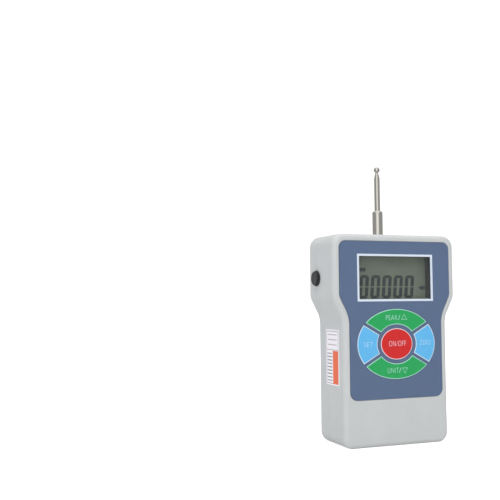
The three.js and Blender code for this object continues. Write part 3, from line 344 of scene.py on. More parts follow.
keyFilm = {"mottle": 3, "grain": 0.2, "relief": 0.004, "roughness": (0.34, 0.46),
           "shader": {"IOR": 1.57, "Specular IOR Level": 0.35}}
screenInk = {"mottle": 0.8, "grain": 0.15, "relief": 0.003, "roughness": (0.5, 0.65)}
segment = {"mottle": 1.2, "grain": 0.3, "relief": 0.001, "roughness": (0.5, 0.6)}
insulation = {"mottle": 3, "grain": 0.5, "relief": 0.01, "roughness": (0.35, 0.5)}
finishes = {
    # moulded ABS: warm light grey, spark-eroded satin that spreads the light softly
    "moulded ABS": {
        "colour": "#cdcfcd", "shade": "#c5c8c7", "mottle": 9, "grain": 0.28, "relief": 0.010,
        "roughness": (0.42, 0.56), "shader": {"IOR": 1.53, "Specular IOR Level": 0.4}},
    # glass-filled black polyamide: deep, with a dull sheen
    "black polyamide": {
        "colour": "#1b1c1e", "shade": "#131415", "mottle": 4, "grain": 0.3, "relief": 0.012,
        "roughness": (0.42, 0.6), "shader": {"IOR": 1.52}},
    # display frame: thin black polycarbonate, smoother, so that its walls pick up a little of the glass
    "black polycarbonate": {
        "colour": "#444648", "shade": "#393b3d", "mottle": 4, "grain": 0.3, "relief": 0.004,
        "roughness": (0.28, 0.42), "shader": {"IOR": 1.58}},
    # silicone rubber: near black with a soft, slightly dusty face
    "black silicone rubber": {
        "colour": "#2f3032", "shade": "#1f2022", "mottle": 2.2, "grain": 0.22, "relief": 0.02,
        "roughness": (0.6, 0.8), "shader": {"IOR": 1.41, "Sheen Weight": 0.2}},
    # screen-printed polyester of the panel: slate blue under a fine satin texture
    "blue panel polyester": {
        "colour": "#5c708e", "shade": "#566a88", "mottle": 14, "grain": 0.25, "relief": 0.005,
        "roughness": (0.36, 0.5), "shader": {"IOR": 1.57, "Specular IOR Level": 0.4}},
    # the same film over the keys: even, saturated, satin
    "red printed polyester": {"colour": "#dc2422", "shade": "#cf1e1d", **keyFilm},
    "green printed polyester": {"colour": "#25ad5d", "shade": "#1ea355", **keyFilm},
    "blue printed polyester": {"colour": "#68bff1", "shade": "#5bb5e9", **keyFilm},
    # screen-printed white ink: opaque, slightly uneven at its edges
    "white screen ink": {"colour": "#e3f0fa", "shade": "#d6e6f3", **screenInk},
    # the same ink printed thin, so that the key's colour shows through it a little
    "white ink over red": {"colour": "#f2dfe9", "shade": "#e8d3df", **screenInk},
    "white ink over green": {"colour": "#b4e9da", "shade": "#a6dccd", **screenInk},
    "white ink over blue": {"colour": "#b8e2fd", "shade": "#abd7f4", **screenInk},
    # liquid crystal segments: soft dark grey-green, not black, and paler where they are hardly driven
    "dark liquid crystal": {"colour": "#30373a", "shade": "#2b3236", **segment},
    "pale liquid crystal": {"colour": "#3f474a", "shade": "#394144", **segment},
    # reflective display glass: grey-green, a little cloudy
    "liquid crystal glass": {
        "colour": "#888f7f", "shade": "#7b8273", "mottle": 7, "grain": 0.5, "relief": 0.001,
        "roughness": (0.35, 0.45)},
    # white vinyl label: printed and satin
    "label vinyl": {
        "colour": "#fbf9fb", "shade": "#f3f1f4", "mottle": 4, "grain": 0.3, "relief": 0.003,
        "roughness": (0.35, 0.5), "shader": {"IOR": 1.52}},
    # turned and polished stainless steel: bright, with fine rings left by the tool
    "polished stainless steel": {
        "colour": "#d2cfc8", "shade": "#c6c3bb", "mottle": 3, "grain": 0.12, "relief": 0.0016,
        "stretch": (0.05, 0.05, 1), "roughness": (0.13, 0.24), "shader": {"Metallic": 1.0}},
    # bright zinc plate: cool, a little cloudy
    "bright zinc plate": {
        "colour": "#b4b7bb", "shade": "#9ea2a8", "mottle": 1.5, "grain": 0.2, "relief": 0.004,
        "roughness": (0.25, 0.42), "shader": {"Metallic": 1.0}},
    # milled aluminium: pale, with fine lines along the cut
    "milled aluminium": {
        "colour": "#c6c8cb", "shade": "#b4b7bb", "mottle": 2, "grain": 0.18, "relief": 0.006,
        "stretch": (1, 1, 0.08), "roughness": (0.3, 0.5), "shader": {"Metallic": 1.0}},
    # plain brass contact: yellow, lightly tarnished
    "plain brass": {
        "colour": "#c3a062", "shade": "#a98647", "mottle": 1, "grain": 0.15, "relief": 0.003,
        "roughness": (0.25, 0.4), "shader": {"Metallic": 1.0}},
    # moulded epoxy of a chip: charcoal with a fine dull texture
    "moulded epoxy": {
        "colour": "#232426", "shade": "#1b1c1d", "mottle": 1.5, "grain": 0.12, "relief": 0.01,
        "roughness": (0.55, 0.75)},
    # solder mask over copper: deep green, glossy
    "green solder mask": {
        "colour": "#1f6b45", "shade": "#185a39", "mottle": 5, "grain": 0.4, "relief": 0.004,
        "roughness": (0.25, 0.4), "shader": {"IOR": 1.55}},
    # natural nylon: milky off-white
    "natural nylon": {
        "colour": "#ece8da", "shade": "#e2ddcc", "mottle": 2, "grain": 0.25, "relief": 0.005,
        "roughness": (0.4, 0.55), "shader": {"Subsurface Weight": 0.1, "Subsurface Scale": mm}},
    # layered contact rubber: dark, finely striped across
    "layered contact rubber": {
        "colour": "#57585a", "shade": "#3a3a3c", "mottle": 0.3, "grain": 0.1, "relief": 0.006,
        "stretch": (1, 0.02, 0.02), "roughness": (0.65, 0.8)},
    # silicone coating: white, soft edged, rubbery
    "white silicone coating": {
        "colour": "#e9e7e1", "shade": "#dcdad2", "mottle": 1.6, "grain": 0.4, "relief": 0.03,
        "roughness": (0.45, 0.6)},
    # shrink wrap: green film drawn tight, glossy with slight waves
    "green shrink wrap": {
        "colour": "#35975d", "shade": "#2b8450", "mottle": 6, "grain": 2.0, "relief": 0.05,
        "roughness": (0.18, 0.3), "shader": {"IOR": 1.53}},
    # closed-cell foam: black, pitted, matt
    "closed-cell foam": {
        "colour": "#303032", "shade": "#1d1d1f", "mottle": 0.6, "grain": 0.5, "relief": 0.15,
        "roughness": (0.85, 1.0)},
    # wire insulation: smooth extruded plastic, slightly shiny
    "red insulation": {"colour": "#bb2522", "shade": "#a61f1d", **insulation},
    "black insulation": {"colour": "#1e1e1f", "shade": "#161617", **insulation},
    "grey insulation": {"colour": "#94969a", "shade": "#85878b", **insulation, "roughness": (0.4, 0.55)},
}
surface = {name: makeFinish(name, look) for name, look in finishes.items()}
print("plain finishes are made")

# Housing: two moulded shells, the front one with the panel's recess
housing = {
    "headFlare": 5.5,
    "waistTop": 78.6,
    "waistHeight": 16.1,
    "waistBulge": 9,
    "waistHollow": 13,
    "headCorner": 6.1,
    "footCorner": 5.3,
    "edgeRadius": 2.5,
    "insideEdge": 1.1,
    "seamBreak": 0.12,
    "wall": 2.2,
    "frontWall": 2.6,
    "lipThickness": 0.9,
    "lipHeight": 1.3,
    "lipClearance": 0.15,
    "mouthRound": 0.3,
    "holeDepth": 6,
    "sink": 0.4,
    "steps": 12,
    "overrun": 2,
}
panel = {"margin": 3.45, "footCorner": 4, "headCorner": 3.6, "clearance": 0.2, "recess": 0.65,
         "edgeRound": 0.1, "mouthRound": 0.35}
window = {"width": 45.1, "height": 24.5, "border": 1.1, "corner": 0.35, "lensLedge": 3.3, "shroud": 0.9,
          "ledgeDepth": 2.05, "ledgeCorner": 0.6, "lensCorner": 0.5, "lensEdge": 0.15}
bosses = {"front": 2.8, "rear": 3.8, "pilot": 1.55, "post": 2.3, "postPilot": 1.25, "bracket": 3.1,
          "counterbore": 2.7, "counterboreDepth": 3.4, "boardDepth": 9.1, "bracketPilot": 7.2, "gap": 0.1}
holes = {"feeler": 3.5, "plug": 3.0, "leg": 1.5}
fence = {"wall": 1.2, "height": 5, "gap": 0.3, "corner": 0.25, "ribs": (0.2, 0.8)}

shellHigh = cadBox("front_shell")[1]
rearLow, rearHigh = cadBox("rear_shell")
panelLow, panelHigh = cadBox("membrane_overlay")
lensLow, lensHigh = cadBox("display_window")
holderLow, holderHigh = cadBox("probe_holder")
plugLow, plugHigh = cadBox("socket_plug")
powerLow, powerHigh = cadBox("power_key")
headHalf = shellHigh.x
gripHalf = headHalf - housing["headFlare"]
frontY, backY, topZ = cadBox("front_shell")[0].y, rearHigh.y, shellHigh.z
insideY = frontY + housing["frontWall"]
seamY = (holderLow.y + holderHigh.y) / 2
seamFront, seamBack = 2 * seamY - rearLow.y, rearLow.y
socketY = (plugLow.y + plugHigh.y) / 2
windowZ = (lensLow.z + lensHigh.z) / 2
keyRingZ = (powerLow.z + powerHigh.z) / 2
keyFront = powerLow.y
viewHalf = (window["width"] / 2 - window["border"], window["height"] / 2 - window["border"])

screws = {}
for node in sorted(nodes):
    kind, found, _ = node.partition("_screw_")
    if found:
        low, high = cadBox(node)
        middle = ((low.x + high.x) / 2, 0, (low.z + high.z) / 2)
        screws.setdefault(kind, []).append({"node": node, "middle": middle, "low": low.y, "high": high.y})


def gaugeOutline(growth, margin, lowZ, highZ, corners):
    # straight grip, waist of two arcs with a slanted line between them, wider head
    inset = margin - growth
    bulge, hollow = housing["waistBulge"] - inset, housing["waistHollow"] + inset
    across = bulge + hollow - housing["headFlare"]
    reach = math.hypot(across, housing["waistHeight"])
    slant = math.atan2(housing["waistHeight"], across) - math.acos((bulge + hollow) / reach)
    gripX, headX = gripHalf - inset, headHalf - inset
    foot, head = corners["footCorner"] + growth, corners["headCorner"] + growth
    waistZ, right = housing["waistTop"], []
    for middle, radius, start, end in (
            ((gripX - foot, lowZ - growth + foot), foot, -quarter, 0),
            ((gripX + hollow, waistZ - housing["waistHeight"]), hollow, math.pi, math.pi - slant),
            ((headX - bulge, waistZ), bulge, -slant, 0),
            ((headX - head, highZ + growth - head), head, 0, quarter)):
        right += arc(middle, (radius, radius), start, end, housing["steps"])
    return right + [(-x, z) for x, z in reversed(right)]


def housingOutline(growth):
    return gaugeOutline(growth, 0, 0, topZ, housing)


def panelOutline(growth):
    return gaugeOutline(growth, panel["margin"], panelLow.z, panelHigh.z, panel)


# Keys lie on two ellipses round the middle of the power key, parted by four bars
keyRing = {"width": 46.1, "height": 36.2, "powerWidth": 18.9, "powerHeight": 16.2, "ring": 2, "bar": 1.6,
           "barAngle": 29.5, "steps": 28, "clearance": 0.2, "travel": 0.4, "thickness": 0.95,
           "edgeRound": 0.12, "legRadius": 1.3, "legSink": 0.2, "outline": 0.4, "legendThickness": 0.02,
           "legendSpacing": 1.12}
keys = {
    "power": {"film": "red", "text": "ON/OFF", "size": (10.1, 2.7), "place": (0.4, 0.2), "weight": -0.017},
    "up": {"film": "green", "onTop": True, "turn": 1, "text": "PEAK", "size": (7.0, 2.6),
           "place": (-2.8, 13.65), "weight": -0.014, "mark": (4.6, 13.6, 1)},
    "down": {"film": "green", "onTop": True, "turn": -1, "text": "UNIT", "size": (6.6, 2.6),
             "place": (-2.4, -13.6), "weight": -0.014, "mark": (4.6, -13.6, -1)},
    "zero": {"film": "blue", "onTop": False, "turn": 1, "text": "ZERO", "size": (6.6, 2.5),
             "place": (17.1, 0.35), "weight": -0.008, "outlineInk": "white screen ink"},
    "set": {"film": "blue", "onTop": False, "turn": -1, "text": "SET", "size": (5.3, 2.5),
            "place": (-16.7, 0.05), "weight": -0.008, "outlineInk": "white screen ink"},
}
# outlined triangle and slanted stroke beside a word
mark = {"size": 3.0, "stroke": 0.18, "corners": ((0, 0.62), (-0.58, -0.38), (0.58, -0.38)),
        "slash": ((-3.6, -1.3), (-3.3, -1.3), (-2.3, 1.3), (-2.6, 1.3))}


def barMeetsEllipse(halfWidth, halfHeight, side):
    angle = math.radians(keyRing["barAngle"])
    cos, sin = math.cos(angle), math.sin(angle)
    startX, startZ = -sin * side, cos * side
    a = (cos / halfWidth) ** 2 + (sin / halfHeight) ** 2
    b = startX * cos / halfWidth ** 2 + startZ * sin / halfHeight ** 2
    c = (startX / halfWidth) ** 2 + (startZ / halfHeight) ** 2 - 1
    along = (-b + math.sqrt(b * b - a * c)) / a
    return math.atan2((startZ + sin * along) / halfHeight, (startX + cos * along) / halfWidth)


def keyOutline(key):
    # the key's outline as a function of its growth
    power, steps = (keyRing["powerWidth"] / 2, keyRing["powerHeight"] / 2), keyRing["steps"]
    if "turn" not in key:
        return lambda growth: arc((0, 0), [half + growth for half in power], 0, math.tau, 3 * steps)[:-1]

    def outline(growth):
        outerRadii = (keyRing["width"] / 2 + growth, keyRing["height"] / 2 + growth)
        innerRadii = [half + keyRing["ring"] - growth for half in power]
        side = (1 if key["onTop"] else -1) * (keyRing["bar"] / 2 - growth)
        outer, inner = barMeetsEllipse(*outerRadii, side), barMeetsEllipse(*innerRadii, side)
        ends = (-outer, outer, inner, -inner)
        if key["onTop"]:
            ends = (outer, math.pi - outer, math.pi - inner, inner)
        points = arc((0, 0), outerRadii, *ends[:2], steps) + arc((0, 0), innerRadii, *ends[2:], steps)
        return [(x * key["turn"], z * key["turn"]) for x, z in points]

    return outline


for name, key in keys.items():
    plungerLow, plungerHigh = cadBox(name + "_plunger")
    key["leg"] = ((plungerLow.x + plungerHigh.x) / 2, 0, (plungerLow.z + plungerHigh.z) / 2)
    key["outline"] = keyOutline(key)


def keyCutters(low, high):
    gap = keyRing["clearance"]
    return [plate("tool", key["outline"], [(gap, low), (gap, high)], (0, keyRingZ)) for key in keys.values()]


def rodsAt(kind, radius, low, high):
    # a rod on the line of each screw of a kind
    return [rod("y", radius, low, high, screw["middle"]) for screw in screws[kind]]


def flaredRod(axis, radius, start, face, centre, towards=1):
    # a cutter that widens by a small round where it leaves the face
    mouth = housing["mouthRound"]
    flare = reversed(rounding(mouth, radius, face, 4, 1, -towards))
    profile = [(radius, start), *flare, (radius + mouth, face + towards * housing["overrun"])]
    return turned("tool", profile[::towards], axis, centre)


def sharedHoles():
    # the feeler's hole in the top and the plug's in the left side, which both shells share
    depth = housing["holeDepth"]
    return [flaredRod("z", holes["feeler"], topZ - depth, topZ, (0, seamY, 0)),
            flaredRod("x", holes["plug"], depth - headHalf, -headHalf, (0, socketY, windowZ), -1)]


def makeFrontShell():
    edge, chamfer, wall, over = (housing[key] for key in ("edgeRadius", "seamBreak", "wall", "overrun"))
    lipTop, lipInset = seamY + housing["lipHeight"], wall - housing["lipThickness"]
    shell = plate("front_shell_skin", housingOutline,
                  [*rounding(edge, 0, frontY, 10), (0, seamFront - chamfer), (-chamfer, seamFront)])
    combine(shell, "UNION", [plate("tool", housingOutline, [
        (-lipInset, frontY + edge + over), (-lipInset, lipTop - chamfer), (-lipInset - chamfer, lipTop)])])
    combine(shell, "DIFFERENCE", [plate("tool", housingOutline, [
        *rounding(housing["insideEdge"], -wall, insideY, 5), (-wall, lipTop + over)])])
    postY, postTop = insideY - housing["sink"], frontY + bosses["boardDepth"]
    posts = rodsAt("case", bosses["front"], postY, seamFront)
    combine(shell, "UNION", posts + rodsAt("board", bosses["post"], postY, postTop))

    # recess of the panel with a rounded mouth, ledge of the lens, opening, pockets and leg holes of the keys
    mouth, gap, startY = panel["mouthRound"], panel["clearance"], frontY - over
    cutters = [plate("tool", panelOutline, [
        (gap + mouth, startY), *rounding(mouth, gap, frontY, 4, 1), (gap, frontY + panel["recess"])])]
    ledges = ((window["lensLedge"], window["ledgeDepth"]), (window["shroud"], housing["frontWall"] + over))
    for ledge, depth in ledges:
        half = [size + ledge + gap for size in viewHalf]
        cutters.append(slab(half, window["ledgeCorner"], startY, frontY + depth, (0, windowZ)))
    cutters += keyCutters(startY, keyFront + keyRing["thickness"] + keyRing["travel"])
    cutters += [rod("y", holes["leg"], startY, insideY + over, key["leg"]) for key in keys.values()]
    for kind, pilot, high in (("case", "pilot", lipTop), ("board", "postPilot", postTop)):
        cutters += rodsAt(kind, bosses[pilot], screws[kind][0]["low"] - bosses["gap"], high + over)
    combine(shell, "DIFFERENCE", cutters + sharedHoles())
    return smooth(shell)


def makeRearShell():
    chamfer, wall, over = (housing[key] for key in ("seamBreak", "wall", "overrun"))
    outside = reversed(rounding(housing["edgeRadius"], 0, backY, 10, -1, -1))
    shell = plate("rear_shell_skin", housingOutline, [
        (-chamfer, seamBack), (0, seamBack + chamfer), *outside])
    floorY = backY - wall
    inside = reversed(rounding(housing["insideEdge"], -wall, floorY, 5, -1, -1))
    rebateInset = wall - housing["lipThickness"] - housing["lipClearance"]
    rebateY = seamY + housing["lipHeight"] + housing["lipClearance"]
    combine(shell, "DIFFERENCE", [
        plate("tool", housingOutline, [(-wall, seamY - over), *inside]),
        plate("tool", housingOutline, [(-rebateInset, seamY - over), (-rebateInset, rebateY)])])

    # bosses, fence round the battery and two ribs under the charging socket
    rootY, bracketY = floorY + housing["sink"], cadBox("load_cell_bracket")[1].y
    ribs = rodsAt("case", bosses["rear"], seamBack, rootY)
    ribs += rodsAt("bracket", bosses["bracket"], bracketY + bosses["gap"], rootY)
    (batteryLow, batteryHigh), (socketLow, socketHigh) = cadBox("battery_pack"), cadBox("charging_socket")
    wide, fenceY = fence["wall"], floorY - fence["height"]
    away = fence["gap"] + wide / 2
    batteryZ, upright = (batteryLow.z + batteryHigh.z) / 2, (batteryHigh.z - batteryLow.z) / 2
    bars = [(side * (batteryHigh.x + away), batteryZ, wide, upright, fenceY) for side in (-1, 1)]
    bars.append((0, batteryHigh.z + away, batteryHigh.x, wide, fenceY))
    for share in fence["ribs"]:
        x = socketLow.x + share * (socketHigh.x - socketLow.x)
        bars.append((x, windowZ, wide, socketHigh.z - socketLow.z, socketHigh.y + fence["gap"]))
    ribs += [slab((width / 2, height / 2), fence["corner"], low, rootY, (x, z), 3)
             for x, z, width, height, low in bars]
    combine(shell, "UNION", ribs)

    seatY, half = backY - bosses["counterboreDepth"], bosses["bracketPilot"] / 2
    cutters = []
    for screw in screws["case"]:
        cutters.append(rod("y", bosses["pilot"], seamY - over, backY + over, screw["middle"]))
        cutters.append(flaredRod("y", bosses["counterbore"], seatY, backY, screw["middle"]))
    cutters += rodsAt("bracket", bosses["pilot"], bracketY - half, bracketY + half)
    combine(shell, "DIFFERENCE", cutters + sharedHoles())
    return smooth(shell)


dress(makeFrontShell(), surface["moulded ABS"], "housing", "housing_plastic", "front_shell")
dress(makeRearShell(), surface["moulded ABS"], "housing", "housing_plastic", "rear_shell")
print("shells are made")


# Panel: printed film with a pale border round the window
def finishParts(material):
    # what a further pattern needs of a finish: tree, shader, tint, place and the place's X, Y and Z
    tree = material.node_tree
    shader = next(node for node in tree.nodes if node.type == "BSDF_PRINCIPLED")
    place = next(node for node in tree.nodes if node.type == "TEX_COORD").outputs["Object"]
    parts = addNode(tree, "ShaderNodeSeparateXYZ", {0: place}).node.outputs
    return tree, shader, shader.inputs["Base Color"].links[0].from_socket, place, parts


def printOver(material, layers):
    # a layer is a colour, the areas that it covers in mm, and what is ruled in them or None
    tree, shader, tint, place, parts = finishParts(material)
    for colour, areas, rules in layers:
        covered = 0.0
        for area in areas:
            inside = 1.0
            for axis, (low, high) in area.items():
                middle, half = (low + high) / 2 * mm, (high - low) / 2 * mm
                within = addNode(tree, "ShaderNodeMath", {
                    "operation": "COMPARE", 0: parts[axis], 1: middle, 2: half})
                inside = addNode(tree, "ShaderNodeMath", {"operation": "MULTIPLY", 0: inside, 1: within})
            covered = addNode(tree, "ShaderNodeMath", {"operation": "MAXIMUM", 0: covered, 1: inside})
        if rules:
            ruled = parts["Z"]
            for operation, value in (("SUBTRACT", rules["start"]), ("PINGPONG", rules["pitch"] / 2),
                                     ("LESS_THAN", rules["width"] / 2)):
                ruled = addNode(tree, "ShaderNodeMath", {"operation": operation, 0: ruled, 1: value * mm})
            covered = addNode(tree, "ShaderNodeMath", {"operation": "MULTIPLY", 0: covered, 1: ruled})
        tint = addNode(tree, "ShaderNodeMix", {"data_type": "RGBA", 0: covered, 6: tint, 7: linear(colour)})
    tree.links.new(tint, shader.inputs["Base Color"])


def makePanel():
    front, back, over = panelLow.y, panelHigh.y, housing["overrun"]
    sheet = plate("panel_film", panelOutline, [*rounding(panel["edgeRound"], 0, front, 3), (0, back)])
    opening = slab(viewHalf, window["corner"], front - over, back + over, (0, windowZ))
    return smooth(combine(sheet, "DIFFERENCE", [opening, *keyCutters(front - over, back + over)]))


halfWidth, halfHeight = window["width"] / 2, window["height"] / 2
border = {"X": (-halfWidth, halfWidth), "Z": (windowZ - halfHeight, windowZ + halfHeight)}
printOver(surface["blue panel polyester"], [("#dde7f2", [border], None)])
dress(makePanel(), surface["blue panel polyester"], "housing", "panel_film", "membrane_overlay")
print("panel is made")


# Keys with their pale printed outlines, and legends in white ink
def insideOutline(x, z, points):
    crossings = 0
    for (x1, z1), (x2, z2) in zip(points, points[1:] + points[:1]):
        if (z1 > z) != (z2 > z) and x < x1 + (z - z1) * (x2 - x1) / (z2 - z1):
            crossings += 1
    return crossings % 2 == 1


def makeKey(name, key):
    line, edge, backFace = keyRing["outline"], keyRing["edgeRound"], keyFront + keyRing["thickness"]
    cap = plate(name + "_key_cap", key["outline"],
                [(-line, keyFront), *rounding(edge, 0, keyFront, 4), (0, backFace)], (0, keyRingZ))
    legEnd = cadBox(name + "_key")[1].y
    leg = rod("y", keyRing["legRadius"], backFace - keyRing["legSink"], legEnd, key["leg"])
    smooth(combine(cap, "UNION", [leg]))
    dress(cap, surface[key["film"] + " printed polyester"], name + "_button", key["film"] + "_key_film",
          name + "_key")
    cap.data.materials.append(surface[key.get("outlineInk", "white ink over " + key["film"])])
    # faces on the front between the outline and its inner line are printed pale
    inner = [(x, z + keyRingZ) for x, z in key["outline"](-line)]
    for face in cap.data.polygons:
        centre = face.center / mm
        onFront = centre.y < keyFront + edge * 1.5 and len(face.vertices) < 12
        if onFront and not insideOutline(centre.x, centre.z, inner):
            face.material_index = 1


def makeLegend(name, key):
    curve = bpy.data.curves.new("words", "FONT")
    curve.body = key["text"]
    curve.extrude = 0.5
    curve.offset = key["weight"]
    curve.space_character = keyRing["legendSpacing"]
    curve.resolution_u = 4
    words = bpy.data.objects.new("words", curve)
    bpy.context.scene.collection.objects.link(words)
    bpy.context.view_layer.update()
    mesh = bpy.data.meshes.new_from_object(words.evaluated_get(bpy.context.evaluated_depsgraph_get()))
    form = bmesh.new()
    form.from_mesh(mesh)
    bpy.data.objects.remove(words)
    bpy.data.curves.remove(curve)
    bpy.data.meshes.remove(mesh)
    thick = keyRing["legendThickness"]
    lows = [min(v.co[i] for v in form.verts) for i in (0, 1)]
    highs = [max(v.co[i] for v in form.verts) for i in (0, 1)]
    for v in form.verts:
        across, upward = (
            (v.co[i] - (lows[i] + highs[i]) / 2) / (highs[i] - lows[i]) * key["size"][i] + key["place"][i]
            for i in (0, 1))
        v.co = Vector((across, keyFront - thick * (v.co.z + 0.5), upward + keyRingZ)) * mm
    if "mark" in key:
        x, z, up = key["mark"]
        rings = []
        for size in (mark["size"], mark["size"] * (1 - mark["stroke"])):
            rings.append([(x + cx * size, z + cz * size * up + keyRingZ) for cx, cz in mark["corners"]])
        rows = [[form.verts.new(Vector((px, y, pz)) * mm) for px, pz in ring]
                for y in (keyFront - thick, keyFront) for ring in rings]
        for i in range(3):
            j = (i + 1) % 3
            for a, b in ((0, 1), (1, 3), (3, 2), (2, 0)):
                form.faces.new((rows[a][i], rows[a][j], rows[b][j], rows[b][i]))
        filmForm(form, [(x + px, z + pz + keyRingZ) for px, pz in mark["slash"]], keyFront, thick)
    dress(addObject(name + "_legend", form), surface["white ink over " + key["film"]], name + "_button",
          key["film"] + "_key_film")


for name, key in keys.items():
    makeKey(name, key)
    makeLegend(name, key)
print("keys are made")


# Clear window and the display behind it
def makeClearAcrylic():
    # polished acrylic: clear, with sharp reflections; light passes through it to the display
    material = newMaterial("clear acrylic")
    tree, clear = material.node_tree, linear("#f2f6f5")
    place = addNode(tree, "ShaderNodeTexCoord").node.outputs["Object"]
    haze = addNode(tree, "ShaderNodeTexNoise", {"Vector": place, "Scale": 1 / (6 * mm), "Detail": 3})
    gloss = addNode(tree, "ShaderNodeMapRange", {"Value": haze, "To Min": 0.01, "To Max": 0.05})
    shader = addNode(tree, "ShaderNodeBsdfPrincipled", {
        "Base Color": clear, "Transmission Weight": 1.0, "IOR": 1.49, "Roughness": gloss})
    through = addNode(tree, "ShaderNodeBsdfTransparent", {"Color": clear})
    ray = addNode(tree, "ShaderNodeLightPath").node.outputs
    mixed = addNode(tree, "ShaderNodeMixShader", {0: ray["Is Shadow Ray"], 1: shader, 2: through})
    addNode(tree, "ShaderNodeOutputMaterial", {"Surface": mixed})
    return material


def makeLens():
    edge, sizes = window["lensEdge"], (lensHigh.x, (lensHigh.z - lensLow.z) / 2, window["lensCorner"])
    profile = [(-edge, lensLow.y), (0, lensLow.y + edge), (0, lensHigh.y - edge), (-edge, lensHigh.y)]
    lens = plate("window_lens", lambda growth: roundedRectangle(*(size + growth for size in sizes)),
                 profile, (0, windowZ))
    return smooth(lens, 50)


dress(makeLens(), makeClearAcrylic(), "housing", "clear_acrylic", "display_window")


def newTree(name, sizes):
    # a geometry tree with named inputs; sizes maps each name to its socket type
    tree = bpy.data.node_groups.new(name, "GeometryNodeTree")
    for way in ("INPUT", "OUTPUT"):
        tree.interface.new_socket("Geometry", in_out=way, socket_type="NodeSocketGeometry")
    inputs = {}
    for label, kind in sizes.items():
        socket = tree.interface.new_socket(label, in_out="INPUT", socket_type="NodeSocket" + kind)
        inputs[label] = socket.identifier
    return tree, addNode(tree, "NodeGroupInput").node.outputs, inputs


def grow(piece, tree, inputs, values):
    # runs the tree on the piece with its inputs set, and keeps the result as the piece's mesh
    step = piece.modifiers.new("grow", "NODES")
    step.node_group = tree
    for label, value in values.items():
        step[inputs[label]] = value
    return settle(piece)


def finishTree(tree, geometry, group):
    real = addNode(tree, "GeometryNodeRealizeInstances", {0: geometry})
    painted = addNode(tree, "GeometryNodeSetMaterial", {"Geometry": real, "Material": group["Material"]})
    addNode(tree, "NodeGroupOutput", {0: painted})


# The display's figures: a row of seven-segment zeros and two small marks, as dark film on the glass
figures = {"count": 5, "first": -15.85, "pitch": 6.83, "z": 81.95, "halfWidth": 2.75, "halfHeight": 6.05,
           "sideBar": 1.95, "endBar": 1.5, "round": 1.6, "gap": 0.07, "middleGap": 0.25, "slant": 0.08,
           "thickness": 0.02, "lift": 0.01}
bar = {"place": (-16.4, 90.95), "half": (1.8, 0.95), "corner": 0.5}
arrow = [(17.1, 81.45), (19.6, 80.1), (19.6, 80.75), (21.3, 80.75), (21.3, 82.15), (19.6, 82.15),
         (19.6, 82.8)]
figureY = cadBox("lcd_front_glass")[0].y - figures["lift"]


def segmentShapes():
    # one quarter turned over the digit's two axes: half of the end bar and half of the side bar
    w, h, radius, gap = (figures[key] for key in ("halfWidth", "halfHeight", "round", "gap"))
    inX, inZ = w - figures["sideBar"], h - figures["endBar"]
    corner, away = (w - radius, h - radius), gap / radius
    side = [(inX, figures["middleGap"]), (w, figures["middleGap"])]
    side += arc(corner, (radius, radius), 0, quarter / 2 - away, 5)
    side.append((inX, inZ - gap))
    top = arc(corner, (radius, radius), quarter / 2 + away, quarter, 5)
    top += [(-x, z) for x, z in reversed(top)] + [(gap - inX, inZ), (inX - gap, inZ)]
    shapes = [[(x * sx, z * sz) for x, z in side] for sx in (-1, 1) for sz in (-1, 1)]
    shapes += [[(x, z * sz) for x, z in top] for sz in (-1, 1)]
    return [[(x + z * figures["slant"], z) for x, z in shape] for shape in shapes]


def makeFigures():
    form = bmesh.new()
    for shape in segmentShapes():
        filmForm(form, shape, 0, figures["thickness"])
    digit = addObject("digit", form)
    tree, group, inputs = newTree("row of figures", {"Digit": "Object", "Material": "Material"})
    drawn = addNode(tree, "GeometryNodeObjectInfo", {"Object": group["Digit"]}).node.outputs["Geometry"]
    row = addNode(tree, "GeometryNodeInstanceOnPoints", {"Points": group["Geometry"], "Instance": drawn})
    finishTree(tree, row, group)
    points = bmesh.new()
    for i in range(figures["count"]):
        points.verts.new(Vector((figures["first"] + figures["pitch"] * i, figureY, figures["z"])) * mm)
    zeros = grow(addObject("display_zeros", points), tree, inputs,
                 {"Digit": digit, "Material": surface["dark liquid crystal"]})
    bpy.data.meshes.remove(digit.data)
    return zeros


def makeMarks():
    # a plain filled bar at the upper left and an arrowhead that points left at the right
    form = bmesh.new()
    outline = roundedRectangle(*bar["half"], bar["corner"], 3)
    placed = [(x + bar["place"][0], z + bar["place"][1]) for x, z in outline]
    for shape in (placed, arrow):
        filmForm(form, shape, figureY, figures["thickness"])
    return addObject("display_marks", form)


dress(makeFigures(), surface["dark liquid crystal"], "housing", "display_glass")
dress(makeMarks(), surface["pale liquid crystal"], "housing", "display_glass")
print("display is made")

# Feeler and plug, turned
feeler = {"chamfer": 0.8, "edge": 0.12, "rod": 1.5, "rodEdge": 0.2, "bore": 1.66, "boreDepth": 8.1,
          "stud": 2, "studLength": 7, "studEdge": 0.15, "neck": 0.64, "ball": 1.58, "taper": 3.9,
          "bend": 0.35, "sides": 96}
plug = {"flangeRadius": 4.15, "flange": 0.6, "flangeEdge": 0.15, "lip": 0.2, "capRadius": 3.75, "cap": 1.1,
        "round": 0.3, "groove": 1.2, "grooveWidth": 0.62, "dish": 0.15, "dishRim": (1.3, 1.0), "shank": 2.6,
        "shankEdge": 0.5, "bore": 1.1, "boreGap": 0.1, "sides": 80}


def makeHolder():
    cut, edge, stud, small, bore = (feeler[key] for key in ("chamfer", "edge", "stud", "studEdge", "bore"))
    radius, low, top = holderHigh.x, holderLow.z, holderHigh.z
    seat, floor, bevel = low + feeler["studLength"], top - feeler["boreDepth"], edge * 0.3
    profile = [(0, low), (stud - small, low), (stud, low + small), (stud, seat), (radius - edge, seat),
               (radius, seat + edge), (radius, top - cut - edge), (radius - bevel, top - cut + bevel),
               (radius - cut, top), (bore, top), (bore, floor), (0, floor)]
    return smooth(turned("feeler_holder", profile, "z", (0, seamY, 0), feeler["sides"]), 25)


